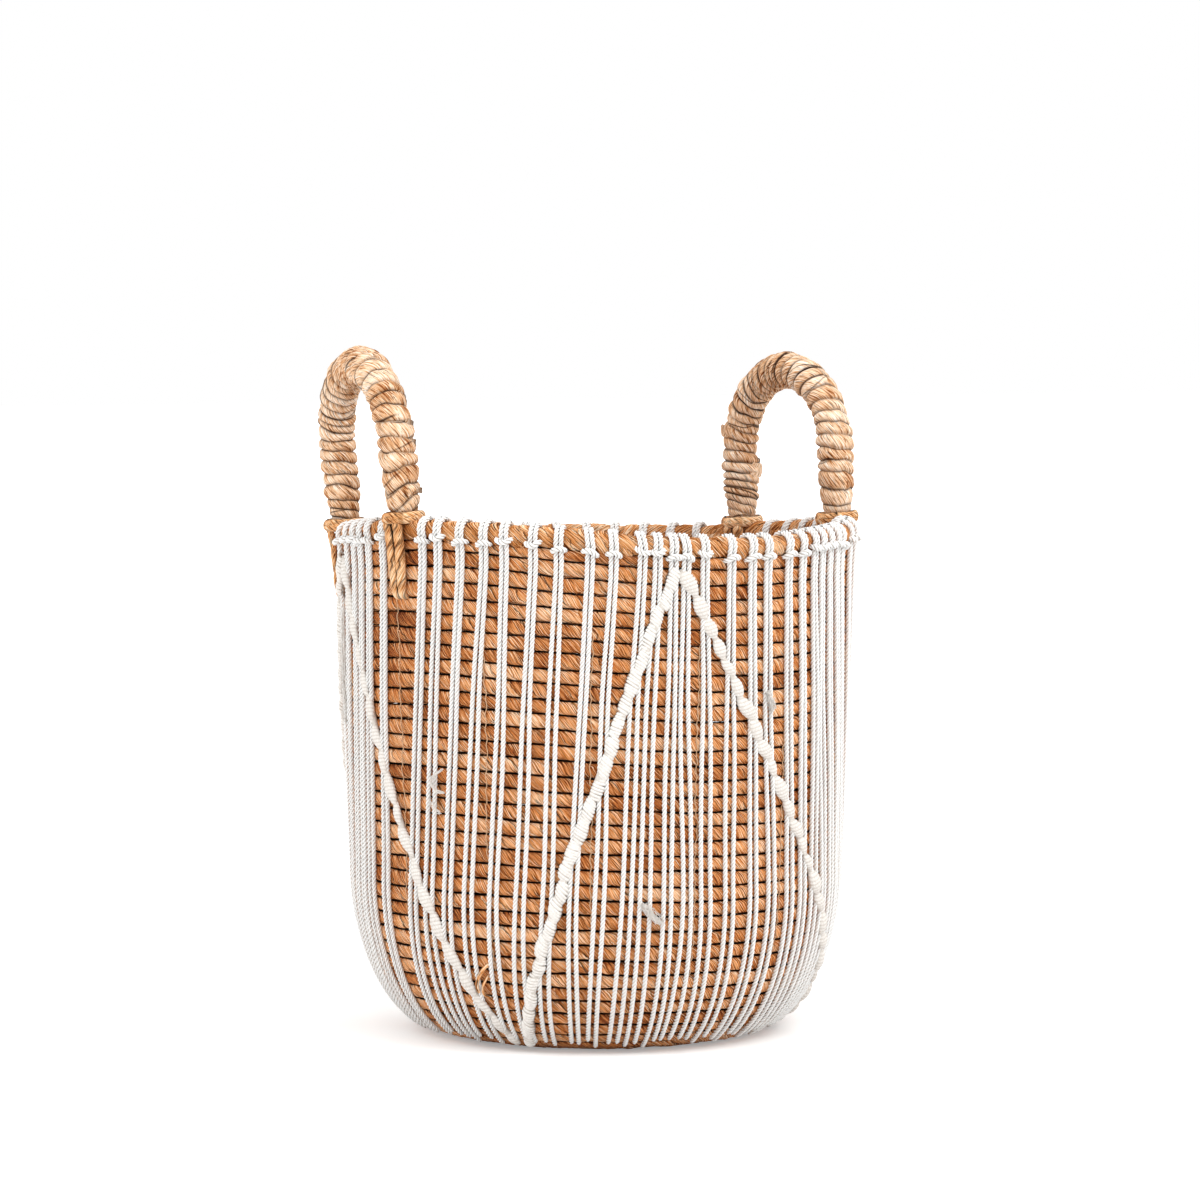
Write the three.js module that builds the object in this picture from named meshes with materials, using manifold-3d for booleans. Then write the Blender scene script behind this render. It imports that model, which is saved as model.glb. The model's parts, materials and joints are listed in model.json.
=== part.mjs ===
// Coiled rope basket with two hinged arch handles and a knotted cotton dress.
// Millimetres, +Z up. The basket stands on z = 0, its middle is the Z axis, and the
// handles stand at the +X and -X sides of the mouth.
import * as THREE from 'three';
import { mergeVertices } from 'three/addons/utils/BufferGeometryUtils.js';
import Module from 'manifold-3d';

const wasm = await Module();
wasm.setup();

// Rope body
const mouthRadius = 154.8;        // middle of the rope wall at the rim
const cornerTopRadius = 146.8;    // middle of the rope wall where the rounded corner starts
const cornerWidth = 58.3;         // how far the corner draws in
const cornerHeight = 102.3;       // how high the corner reaches
const wallHeight = 301.2;         // underside of the rim rope above the floor
const rowPitch = 9;               // one turn of rope to the next, along the wall
const ropeThickness = 9;          // through the wall
const turnGap = 0.5;              // between neighbouring turns
const firstTurn = 0.65;           // turns from the middle of the base at which the rope starts
const lastRowEnd = 0.2;           // share of a row's height at which the last turn stops
const seamAngle = 75;             // degrees round from +X where each length of rope begins
const turnSteps = 18;             // straight steps in one turn of rope
const coarseRadius = 68;          // inside this radius a turn has half the steps
const fineRadius = 90;            // from here on every second step stands out fully
const wallLengths = 3;            // lengths of rope that make the upright wall

// Rim rope
const rimThickness = 11.5;

// The mouth is made by hand and waves: height, angle of a crest, crests in a turn
const waves = [[6, 242, 1], [3, 185, 2], [2.3, 210, 3]];

// Handles: a bent core bound with a flat strip, tied to the wall at each foot
const handleSpan = 104.4;         // between the middles of the two feet
const footOffset = 0.8;           // a foot stands this far outside the middle of the mouth's wall
const handleStraight = 35;        // straight part of each leg above its hinge
const coreRadius = 8.5;
const bindingThickness = 2.5;
const bindingTurns = 24;
const bindingGap = 0.65;          // between neighbouring turns of the strip
const bindingStart = 3.5;         // lowest edge of the strip above the hinge
const handles = [
  { side: 'right', angle: 6.8, lean: 0.5 },
  { side: 'left', angle: 176.2, lean: 5 },
];

// Ties: flat strands that go down outside, through the wall and up inside
const tieWidth = 6.4;
const tieThickness = 3;
const tieRows = 4;                // rows of rope that a tie takes hold of
const gripDrop = 3;               // end of a tie below the hinge, beside the handle's foot
const tieBend = 0.6;              // rounding where a tie turns into the wall
const tieSlack = 0.2;             // how much looser than its clearance a tie lies

// Cotton cords, doubled and hung over the rim rope
const cordThickness = 3;
const strandSpread = 3.4;         // between the two strands of a cord below its knot
const strandLift = 0.5;           // how far a strand stands off under a bar's inner face
const cordEndHeight = 22;         // end of a cord, along the corner above the flat base
const knotDrop = 9;               // from the underside of the rim rope to where a cord divides
const evenShare = 0.7;            // how far the strands spread evenly towards the base
const frontAngle = 243.6;         // degrees round from +X to the middle of the show side

// Knot places on the show side, degrees from its middle, read from left to right
const frontKnots = [
  -71.3, -66.5, -62.7, -58.9, -53, -40.1, -35.8, -30.1, -24.4, -19.7, -13.3, -7.8, -1.2, 3.8,
  9.9, 13.2, 16.7, 19.5, 23.8, 30.2, 35.6, 39.9, 46.2, 50.9, 55.3, 58.6, 62.3, 66.1, 69.2,
];
const backKnotStep = 7;           // degrees between knots on the far side
const footMargin = 3.4;           // least room between a cord and the tie of a handle's foot

// Knotted bars that run in a zigzag over the cords, from the mouth to the base and back
const barWidth = 8;
const barThickness = 5.4;
const barFlat = 0.6;              // share of a bar's width that is its flat outer face
const barTopDrop = 16;            // start of a bar below the rim rope
const barUpperRise = 150;         // heights above the corner at which a bar's wall stretch bends
const barBendRise = 60;
const barEndHeight = 30;          // foot of a bar, along the corner above the flat base
const barTurns = [-75.5, -19.5, 18.1, 70, 118, 160, 203, 245];
const barBows = [0.05, 0, 0.06, 0.02, 0, 0.03, 0, 0.04];

const clearance = 0.35;           // between neighbours that touch on the real basket

const rad = THREE.MathUtils.degToRad;
const leafBrown = { color: 0xb5713c, roughness: 0.8, metalness: 0 };
const leafPale = { color: 0xc9a377, roughness: 0.75, metalness: 0 };
const cotton = { color: 0xf0ece4, roughness: 0.95, metalness: 0 };

// Sections through a rope: outwards and along the wall, in shares of its thickness and height.
// The rope of the base has a flat on its outside, on which the basket stands.
const crownShare = 0.4;
const wallSection = [[-0.5, 0], [0.1, 0.5], [crownShare, 0], [0.1, -0.5]];
const baseSection = [[-0.5, 0], [0, 0.5], [crownShare, 0.26], [crownShare, -0.26], [0, -0.5]];
const crown = crownShare * ropeThickness;

// Wall profile through the middle of the rope: flat base, rounded corner, straight wall
const flatRadius = cornerTopRadius - cornerWidth;
const cornerMiddle = crown + cornerHeight;
const profile = new THREE.CurvePath();
profile.add(new THREE.LineCurve(new THREE.Vector2(0, crown), new THREE.Vector2(flatRadius, crown)));
profile.add(new THREE.EllipseCurve(flatRadius, cornerMiddle, cornerWidth, cornerHeight, -Math.PI / 2, 0));
profile.add(new THREE.LineCurve(
  new THREE.Vector2(cornerTopRadius, cornerMiddle), new THREE.Vector2(mouthRadius, wallHeight)));
const [baseEnd, cornerEnd, wallEnd] = profile.getCurveLengths();

// Height of the waving mouth above or below its mean, at one of the rope's own steps
function waveAtStep(step) {
  const angle = rad(seamAngle) + step * 2 * Math.PI / turnSteps;
  return waves.reduce((sum, [h, crest, n]) => sum + h * Math.cos(n * (angle - rad(crest))), 0);
}

// The same at any angle: it changes evenly along each straight step of rope
function mouthWave(angle) {
  const at = (angle - rad(seamAngle)) * turnSteps / (2 * Math.PI);
  const before = Math.floor(at);
  return THREE.MathUtils.lerp(waveAtStep(before), waveAtStep(before + 1), at - before);
}

// Every height on the wall stretches with the wave, so all the rows follow the mouth
function place(angle, radius, height) {
  const stretch = 1 + mouthWave(angle) / wallHeight;
  const level = Math.max(0, height * stretch);
  return new THREE.Vector3(radius * Math.cos(angle), radius * Math.sin(angle), level);
}

// Moves a point sideways round the wall
function beside(point, angle, wide) {
  point.x -= wide * Math.sin(angle);
  point.y += wide * Math.cos(angle);
  return point;
}

// A point on the profile at a length along it, with its direction and its outward normal
function profileAt(length) {
  const along = THREE.MathUtils.clamp(length, 0, wallEnd);
  const curve = profile.curves[along <= baseEnd ? 0 : along <= cornerEnd ? 1 : 2];
  const start = along <= baseEnd ? 0 : along <= cornerEnd ? baseEnd : cornerEnd;
  const part = Math.min(1, (along - start) / curve.getLength());
  const point = curve.getPointAt(part);
  const tangent = curve.getTangentAt(part);
  point.addScaledVector(tangent, length - along);
  return { point, tangent, normal: new THREE.Vector2(tangent.y, -tangent.x) };
}

// A point beside the wall: angle, length along the profile, and distance out from its middle
function onWall(angle, length, out) {
  const { point, normal } = profileAt(length);
  return place(angle, point.x + out * normal.x, point.y + out * normal.y);
}

// Triangles of a tube through rings of points, closed by a cap at each end that asks for one
function tube(rings, capStart = true, capEnd = true) {
  const soup = [];
  const count = rings[0].length;
  for (let i = 0; i + 1 < rings.length; i++) {
    for (let j = 0; j < count; j++) {
      const k = (j + 1) % count;
      soup.push(rings[i][j], rings[i][k], rings[i + 1][k]);
      soup.push(rings[i][j], rings[i + 1][k], rings[i + 1][j]);
    }
  }
  const last = rings[rings.length - 1];
  for (let j = 1; j + 1 < count; j++) {
    if (capStart) soup.push(rings[0][0], rings[0][j + 1], rings[0][j]);
    if (capEnd) soup.push(last[0], last[j], last[j + 1]);
  }
  return soup;
}

// A closed geometry from triangles, turned so that its faces point out
const weld = 1e-4;
function geometryOf(soup) {
  let volume = 0;
  for (let i = 0; i < soup.length; i += 3) {
    volume += soup[i].dot(new THREE.Vector3().crossVectors(soup[i + 1], soup[i + 2]));
  }
  const points = [];
  for (let i = 0; i < soup.length; i += 3) {
    points.push(soup[i], ...(volume > 0 ? [soup[i + 1], soup[i + 2]] : [soup[i + 2], soup[i + 1]]));
  }
  return mergeVertices(new THREE.BufferGeometry().setFromPoints(points), weld);
}

// A solid that can be joined and cut, and the geometry of such a solid
function solidOf(geometry) {
  const bare = geometry.clone();
  bare.deleteAttribute('normal');
  bare.deleteAttribute('uv');
  const merged = mergeVertices(bare, weld);
  return new wasm.Manifold(new wasm.Mesh({
    numProp: 3,
    vertProperties: new Float32Array(merged.getAttribute('position').array),
    triVerts: new Uint32Array(merged.getIndex().array),
  }));
}

function geometryFrom(solid) {
  const mesh = solid.getMesh();
  const geometry = new THREE.BufferGeometry();
  geometry.setAttribute('position', new THREE.BufferAttribute(mesh.vertProperties, 3));
  geometry.setIndex(new THREE.BufferAttribute(mesh.triVerts, 1));
  return geometry;
}

function meshOf(name, geometry, finish) {
  const mesh = new THREE.Mesh(geometry, new THREE.MeshStandardMaterial(finish));
  mesh.name = name;
  return mesh;
}

const basket = new THREE.Group();

// Coiled rope. It winds clockwise from the middle of the base to the mouth, and its last
// turn thins out so that the rim rope lies level on it.
const lastTurn = wallEnd / rowPitch + 0.5 - lastRowEnd;

function rowAt(turn) {
  const low = (turn - 0.5) * rowPitch;
  const high = Math.min(low + rowPitch, wallEnd);
  return { middle: (low + high) / 2, height: high - low - turnGap };
}

// How far a step's corner is drawn in where turns with few steps pass into full ones
function drawnIn(turn) {
  const step = turn * turnSteps;
  const whole = Math.abs(step - 2 * Math.round(step / 2)) < 0.5;
  const share = (fineRadius - turn * rowPitch) / (fineRadius - coarseRadius);
  return whole ? 0 : THREE.MathUtils.clamp(share, 0, 1) * (1 - Math.cos(2 * Math.PI / turnSteps));
}

function ropeRing(turn, section) {
  const { middle, height } = rowAt(turn);
  const { point, tangent, normal } = profileAt(middle);
  point.x *= 1 - drawnIn(turn);
  const angle = rad(seamAngle) - turn * 2 * Math.PI;
  return section.map(([out, up]) => {
    const depth = ropeThickness * out;
    const rise = height * up;
    return place(angle, point.x + depth * normal.x + rise * tangent.x,
      point.y + depth * normal.y + rise * tangent.y);
  });
}

// Rings of a length of rope. It starts a clearance after the end of the length before it.
function ropeLength(fromTurn, toTurn, section) {
  const firstStep = Math.ceil(fromTurn * turnSteps);
  const turns = [];
  for (let step = firstStep; step < toTurn * turnSteps - 1e-6;) {
    turns.push(step / turnSteps);
    const coarse = step / turnSteps * rowPitch < coarseRadius && step % 2 === 0;
    step += coarse ? 2 : 1;
  }
  const radius = profileAt(rowAt(fromTurn).middle).point.x;
  turns[0] = fromTurn + clearance / (2 * Math.PI * radius);
  turns.push(toTurn);
  return turns.map((turn) => ropeRing(turn, section));
}

// Least distance between the points of a winding and those of its other turns
const leastGaps = [];
function measureGap(name, rings, turnRings) {
  let least = Infinity;
  for (let i = 0; i < rings.length; i++) {
    for (const other of rings.slice(i + turnRings - 1).flat()) {
      for (const point of rings[i]) least = Math.min(least, point.distanceTo(other));
    }
  }
  leastGaps.push(`${name} ${least.toFixed(2)} mm`);
}

const baseTurns = Math.round(baseEnd / rowPitch);
const cornerTurns = Math.round(cornerEnd / rowPitch);
const wallNames = ['lower', 'middle', 'upper'];
const wallShare = (lastTurn - 1 - cornerTurns) / wallLengths;
const lengths = [
  { name: 'base_coil', from: firstTurn, to: baseTurns, section: baseSection },
  { name: 'corner_coil', from: baseTurns, to: cornerTurns, section: wallSection },
];
for (let i = 0; i < wallLengths; i++) {
  const from = cornerTurns + Math.round(i * wallShare);
  const to = i + 1 < wallLengths ? cornerTurns + Math.round((i + 1) * wallShare) : lastTurn;
  lengths.push({ name: `wall_coil_${wallNames[i] ?? i + 1}`, from, to, section: wallSection });
}

// The foot of each handle, and the gap between two rows where its ties pass through the wall
const handleFootRadius = mouthRadius + footOffset;
const hingeLift = clearance + coreRadius;
const rimMiddle = wallEnd + clearance + rimThickness / 2;
const rimTop = rimMiddle + rimThickness / 2;
const footTurn = Math.asin(handleSpan / 2 / handleFootRadius);

function rowSeamBelow(angle, length) {
  const offset = (rad(seamAngle) - angle) / (2 * Math.PI);
  const turn = Math.floor(length / rowPitch - offset - 0.5) + offset;
  return (turn + 0.5) * rowPitch;
}

const feet = handles.flatMap(({ side, angle }) => [-1, 1].map((end) => {
  const footAngle = rad(angle) + end * footTurn;
  const seam = rowSeamBelow(footAngle, wallEnd - (tieRows - 0.5) * rowPitch);
  return { side, end, angle: footAngle, seam };
}));

// A box across the wall at a foot, wide enough for both ties
function tieSlot({ angle, seam }) {
  const wide = 2 * tieWidth + 3 * clearance;
  const tall = tieThickness + 2 * clearance;
  const box = new THREE.BoxGeometry(6 * ropeThickness, wide, tall);
  const middle = onWall(angle, seam, 0);
  return box.applyMatrix4(new THREE.Matrix4().makeRotationZ(angle).setPosition(middle));
}

for (const { name, from, to, section } of lengths) {
  const rings = ropeLength(from, to, section);
  measureGap(name, rings, from * rowPitch < coarseRadius ? turnSteps / 2 : turnSteps);
  let geometry = geometryOf(tube(rings));
  if (to === lastTurn) {
    let solid = solidOf(geometry);
    for (const foot of feet) solid = solid.subtract(solidOf(tieSlot(foot)));
    geometry = geometryFrom(solid);
  }
  basket.add(meshOf(name, geometry, leafBrown));
}

// The rim rope, one thicker turn that closes on itself end to end
const rimSides = 6;
const rimRings = [];

// A corner of its section, or of a loop of another size round it
function rimCorner(index, size) {
  const turn = index * 2 * Math.PI / rimSides;
  const out = size / 2 * Math.cos(turn);
  const up = size / 2 * Math.sin(turn) / Math.cos(Math.PI / rimSides);
  return new THREE.Vector2(out, up);
}

for (let i = 0; i <= turnSteps; i++) {
  const start = i === 0 ? clearance / mouthRadius : 0;
  const angle = rad(seamAngle) - i * 2 * Math.PI / turnSteps - start;
  const { point } = profileAt(rimMiddle);
  const ring = [];
  for (let j = 0; j < rimSides; j++) {
    const corner = rimCorner(j, rimThickness).add(point);
    ring.push(place(angle, corner.x, corner.y));
  }
  rimRings.push(ring);
}
basket.add(meshOf('rim_coil', geometryOf(tube(rimRings)), leafBrown));

// Handles. Each stands in its own group: the hinge line is the group's X axis, through the
// middles of the two rounded feet, and the arch rises along its Z axis.
const coreSides = 10;
const archSteps = 12;
const footRings = [0.15, 0.5, 0.85];

class Arch {
  constructor(span) {
    this.radius = span / 2;
    this.length = 2 * handleStraight + Math.PI * this.radius;
  }

  // A point of the arch at a length from its first foot, and the direction away from its middle
  at(length) {
    const bend = (length - handleStraight) / this.radius;
    const turn = THREE.MathUtils.clamp(bend, 0, Math.PI);
    const along = new THREE.Vector3(Math.sin(turn), 0, Math.cos(turn));
    const outward = new THREE.Vector3(-Math.cos(turn), 0, Math.sin(turn));
    const point = outward.clone().multiplyScalar(this.radius);
    point.z += handleStraight;
    point.addScaledVector(along, (bend - turn) * this.radius);
    return { point, outward };
  }
}

function coreRing(arch, length, radius) {
  const { point, outward } = arch.at(length);
  const ring = [];
  for (let i = 0; i < coreSides; i++) {
    const turn = i * 2 * Math.PI / coreSides;
    const spot = point.clone().addScaledVector(outward, radius * Math.cos(turn));
    spot.y += radius * Math.sin(turn);
    ring.push(spot);
  }
  return ring;
}

function coreGeometry(arch) {
  const stops = [[0, coreRadius]];
  for (let i = 0; i <= archSteps; i++) {
    stops.push([handleStraight + i * Math.PI * arch.radius / archSteps, coreRadius]);
  }
  stops.push([arch.length, coreRadius]);
  for (const share of footRings) {
    const depth = coreRadius * Math.sin(share * Math.PI / 2);
    const radius = coreRadius * Math.cos(share * Math.PI / 2);
    stops.unshift([-depth, radius]);
    stops.push([arch.length + depth, radius]);
  }
  return geometryOf(tube(stops.map(([length, radius]) => coreRing(arch, length, radius))));
}

// The strip winds round the core, and closes up on the inside of the bend
const bindingSteps = 6;
const bindingInner = (coreRadius + clearance) / Math.cos(Math.PI / bindingSteps);
const bindingOuter = bindingInner + bindingThickness;
const bindingFlat = 0.76;

function bindingGeometry(name, arch) {
  const pitch = (arch.length - 2 * bindingStart) / (bindingTurns + 1);
  const half = (pitch - bindingGap) / 2;
  const section = [
    [bindingInner, -half], [bindingOuter, -bindingFlat * half],
    [bindingOuter, bindingFlat * half], [bindingInner, half],
  ];
  const rings = [];
  for (let i = 0; i <= bindingTurns * bindingSteps; i++) {
    const turn = i * 2 * Math.PI / bindingSteps;
    const middle = bindingStart + pitch * (0.5 + i / bindingSteps);
    rings.push(section.map(([radius, along]) => {
      const { point, outward } = arch.at(middle + along);
      point.addScaledVector(outward, radius * Math.cos(turn));
      point.y += radius * Math.sin(turn);
      return point;
    }));
  }
  measureGap(name, rings, bindingSteps);
  return geometryOf(tube(rings));
}

for (const { side, angle, lean } of handles) {
  const [start, end] = feet.filter((foot) => foot.side === side).map((foot) => {
    const hinge = new THREE.Vector3(Math.cos(foot.angle), Math.sin(foot.angle), 0);
    const level = onWall(foot.angle, rimTop, 0).z + hingeLift;
    return hinge.multiplyScalar(handleFootRadius).setZ(level);
  });
  const hingeLine = end.clone().sub(start).normalize();
  const outward = new THREE.Vector3(Math.cos(rad(angle)), Math.sin(rad(angle)), 0);
  outward.addScaledVector(hingeLine, -outward.dot(hingeLine)).normalize();
  const upright = new THREE.Vector3().crossVectors(outward, hingeLine);
  const rise = upright.multiplyScalar(Math.cos(rad(lean))).addScaledVector(outward, Math.sin(rad(lean)));
  const across = new THREE.Vector3().crossVectors(rise, hingeLine);
  const arch = new Arch(start.distanceTo(end));
  const handle = new THREE.Group();
  handle.name = `${side}_hinge`;
  handle.position.copy(start).lerp(end, 0.5);
  handle.quaternion.setFromRotationMatrix(new THREE.Matrix4().makeBasis(hingeLine, across, rise));
  const binding = bindingGeometry(`handle_binding_${side}`, arch);
  handle.add(meshOf(`handle_core_${side}`, coreGeometry(arch), leafBrown));
  handle.add(meshOf(`handle_binding_${side}`, binding, leafPale));
  basket.add(handle);
}

// Ties. Two strands hold each foot: down the outside, through the wall, up the inside.
// A straight step of rope cuts inside the round, and the inner run leaves room for that.
const halfTie = tieThickness / 2;
const stepSag = mouthRadius * (1 - Math.cos(Math.PI / turnSteps));

function tieRoute(foot) {
  const rim = profileAt(rimMiddle).point;
  const seam = profileAt(foot.seam).point;
  const hold = coreRadius + clearance + halfTie + tieSlack;
  const grip = Math.sqrt(hold * hold - gripDrop * gripDrop);
  const gripHeight = rim.y + rimThickness / 2 + hingeLift - gripDrop;
  const besideRim = rimThickness / 2 + clearance + halfTie + tieSlack;
  const outside = crown + clearance + halfTie + tieSlack;
  const inside = ropeThickness / 2 + clearance + halfTie + tieSlack + stepSag;
  const halfway = seam.y + tieRows * rowPitch / 2;
  const bulgeRoom = 1;
  const shoulder = rimThickness / 4;
  return [
    [handleFootRadius + grip, gripHeight],
    [rim.x + besideRim, rim.y + shoulder],
    [rim.x + besideRim, rim.y - shoulder],
    [seam.x + outside + bulgeRoom, halfway],
    [seam.x + outside, seam.y + halfTie],
    [seam.x + outside - tieBend, seam.y],
    [seam.x - inside + tieBend, seam.y],
    [seam.x - inside, seam.y + halfTie],
    [seam.x - inside, halfway],
    [rim.x - besideRim - stepSag, rim.y - shoulder],
    [rim.x - besideRim - stepSag, rim.y + shoulder],
    [handleFootRadius - grip, gripHeight],
  ].map(([x, y]) => new THREE.Vector2(x, y));
}

function tieGeometry(foot, shift) {
  const route = tieRoute(foot);
  const corners = [[halfTie, -1], [halfTie, 1], [-halfTie, 1], [-halfTie, -1]];
  const rings = route.map((point, i) => {
    const into = point.clone().sub(route[Math.max(0, i - 1)]);
    const away = route[Math.min(route.length - 1, i + 1)].clone().sub(point);
    const first = (i === 0 ? away : into).normalize();
    const second = (i === route.length - 1 ? into : away).normalize();
    const along = first.clone().add(second).normalize();
    const side = new THREE.Vector2(-along.y, along.x).divideScalar(along.dot(first));
    return corners.map(([deep, wide]) => {
      const spot = point.clone().addScaledVector(side, deep);
      return beside(place(foot.angle, spot.x, spot.y), foot.angle, shift + wide * tieWidth / 2);
    });
  });
  return geometryOf(tube(rings));
}

for (const foot of feet) {
  const shown = foot.side === 'left' ? foot.end > 0 : foot.end < 0;
  for (const lay of [-1, 1]) {
    const shift = lay * (tieWidth + clearance) / 2;
    const name = `tie_${foot.side}_${shown ? 'front' : 'rear'}_${lay < 0 ? 'a' : 'b'}`;
    basket.add(meshOf(name, tieGeometry(foot, shift), leafPale));
  }
}

// Knots round the whole mouth: those of the show side, then even ones on the far side,
// all clear of the ties, in order from the first turn of the bars
const footRoom = (tieWidth + clearance + cordThickness + footMargin) / mouthRadius;

function clearOfFeet(at) {
  return feet.every((foot) => {
    const apart = rad(at + frontAngle) - foot.angle;
    return Math.abs(Math.atan2(Math.sin(apart), Math.cos(apart))) > footRoom;
  });
}

const backStart = frontKnots[frontKnots.length - 1];
const backSpan = 360 + frontKnots[0] - backStart;
const backCount = Math.round(backSpan / backKnotStep);
const backKnots = [];
for (let i = 1; i < backCount; i++) backKnots.push(backStart + i * backSpan / backCount);
const knots = [...frontKnots, ...backKnots].filter(clearOfFeet)
  .map((at) => (at < barTurns[0] ? at + 360 : at)).sort((a, b) => a - b);

function knotAt(index) {
  const round = Math.floor(index / knots.length);
  return knots[index - round * knots.length] + round * 360;
}

// Strands keep their knot's place at the rim and spread evenly towards the base
const halfCord = cordThickness / 2;
const evenStep = 360 / knots.length;
const evenStart = knots.reduce((sum, at, i) => sum + at - i * evenStep, 0) / knots.length;
const cordClear = crown + clearance;
const strandOffset = THREE.MathUtils.radToDeg(strandSpread / 2 / mouthRadius);

function strandAngle(index, side, length) {
  const top = knotAt(index) + side * strandOffset;
  const even = evenStart + (index + side / 4) * evenStep;
  const whole = wallEnd - knotDrop - baseEnd;
  const fall = THREE.MathUtils.clamp((wallEnd - knotDrop - length) / whole, 0, 1);
  return rad(frontAngle + top + (even - top) * evenShare * fall);
}

// How far the profile bulges past a straight step between two lengths along it
function bulge(from, to) {
  const a = profileAt(from).point;
  const b = profileAt(to).point;
  const across = new THREE.Vector2(b.y - a.y, a.x - b.x).normalize();
  const samples = 8;
  let most = 0;
  for (let i = 1; i < samples; i++) {
    const p = profileAt(from + (to - from) * i / samples).point;
    most = Math.max(most, p.sub(a).dot(across));
  }
  return most;
}

// Lengths along the wall for a piece that follows it downwards, with its clearance at each
function follow(stops) {
  return stops.map((length, i) => {
    const above = i > 0 ? bulge(length, stops[i - 1]) : 0;
    const below = i + 1 < stops.length ? bulge(stops[i + 1], length) : 0;
    return { length, out: cordClear + Math.max(above, below) };
  });
}

// Even lengths from the top of the corner to a height above its foot
function cornerLengths(count, endHeight) {
  const step = (baseEnd + endHeight - cornerEnd) / count;
  return Array.from({ length: count + 1 }, (_, i) => cornerEnd + i * step);
}

const strandStops = follow(cornerLengths(3, cordEndHeight));

// A doubled cord: one band over the rim rope that divides in two below its knot
const bandSection = [[-cordThickness, 0], [0, halfCord], [cordThickness, 0], [0, -halfCord]];
const strandSection = [[-halfCord, 0], [0, cordThickness], [halfCord, 0]];

// Size of a loop whose inner side clears the slanted faces of the rim rope
const [rimSide, rimShoulder] = [rimCorner(0, 1), rimCorner(1, 1)];
const rimFace = Math.abs(rimSide.cross(rimShoulder)) / rimSide.distanceTo(rimShoulder);
const loopSize = rimThickness + (clearance + halfCord) / rimFace;

function cordSolid(index) {
  const bandAngle = rad(frontAngle + knotAt(index));
  const bandRing = (spot, normal) => bandSection.map(([wide, deep]) => {
    const { x, y } = spot.clone().addScaledVector(normal, deep);
    return beside(place(bandAngle, x, y), bandAngle, wide);
  });
  const band = [];
  for (let i = rimSides / 2; i >= 0; i--) {
    const corner = rimCorner(i, loopSize);
    const normal = corner.clone().normalize();
    corner.add(profileAt(rimMiddle).point);
    if (corner.x < mouthRadius) corner.x -= stepSag;
    band.push(bandRing(corner, normal));
  }
  const { point, normal } = profileAt(wallEnd - knotDrop);
  band.push(bandRing(point.addScaledVector(normal, cordClear + halfCord), normal));
  const [left, outer, right, inner] = band[band.length - 1];
  const soup = tube(band, true, false);
  for (const side of [-1, 1]) {
    const rings = [side < 0 ? [left, outer, inner] : [outer, right, inner]];
    for (const stop of strandStops) {
      const angle = strandAngle(index, side, stop.length);
      const ring = strandSection.map(([wide, deep]) =>
        beside(onWall(angle, stop.length, stop.out + strandLift + deep), angle, wide));
      rings.push(side < 0 ? ring : [ring[1], ring[2], ring[0]]);
    }
    soup.push(...tube(rings, false, true));
  }
  return solidOf(geometryOf(soup));
}

// A knotted bar between a turn at the mouth and a turn at the base
const barStops = follow([
  wallEnd - barTopDrop, cornerEnd + barUpperRise, cornerEnd + barBendRise,
  ...cornerLengths(4, barEndHeight)]);
const barTop = barStops[0].length;
const barFoot = barStops[barStops.length - 1].length;

function barSolid(mouthAngle, footAngle, bow) {
  const angles = barStops.map(({ length }) => {
    const fall = (barTop - length) / (barTop - barFoot);
    return mouthAngle + (footAngle - mouthAngle) * (fall - bow * Math.sin(Math.PI * fall));
  });
  const rings = barStops.map(({ length, out }, i) => {
    const before = Math.max(i - 1, 0);
    const after = Math.min(i + 1, barStops.length - 1);
    const radius = profileAt(length).point.x;
    const drop = barStops[before].length - barStops[after].length;
    const slope = radius * (angles[after] - angles[before]) / drop;
    const half = barWidth / 2 * Math.hypot(1, slope);
    const steps = [angles[i] - angles[before], angles[after] - angles[i]].map(Math.abs);
    const sag = radius * (1 - Math.cos(Math.max(...steps) / 2 + half / radius));
    const corners = [
      [-half, 0], [-barFlat * half, barThickness], [barFlat * half, barThickness], [half, 0],
    ];
    return corners.map(([wide, deep]) =>
      beside(onWall(angles[i], length, out + sag + deep), angles[i], wide));
  });
  return solidOf(geometryOf(tube(rings)));
}

// The middle between the last strand of one panel and the first strand of the next
function panelEdge(index, length) {
  return (strandAngle(index - 1, 1, length) + strandAngle(index, -1, length)) / 2;
}

// The dress is made in panels, each one bar with the cords that it ties together
const barInset = 0.75 * barWidth;
for (let panel = 0; panel < barTurns.length; panel++) {
  const until = barTurns[panel + 1] ?? barTurns[0] + 360;
  const first = knots.findIndex((at) => at > barTurns[panel]);
  const next = knots.filter((at) => at < until).length;
  const startsHigh = panel % 2 === 0;
  const edgeAngle = (length, towards) => {
    const inset = towards * barInset / profileAt(length).point.x;
    return panelEdge(towards > 0 ? first : next, length) + inset;
  };
  const mouth = edgeAngle(barTop, startsHigh ? 1 : -1);
  const foot = edgeAngle(barFoot, startsHigh ? -1 : 1);
  let solid = barSolid(mouth, foot, barBows[panel]);
  for (let index = first; index < next; index++) solid = solid.add(cordSolid(index));
  basket.add(meshOf(`macrame_panel_${panel + 1}`, geometryFrom(solid), cotton));
}

console.log(`Least gap of each winding to itself: ${leastGaps.join(', ')}`);

export default basket;
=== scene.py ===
import json
import math

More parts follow.
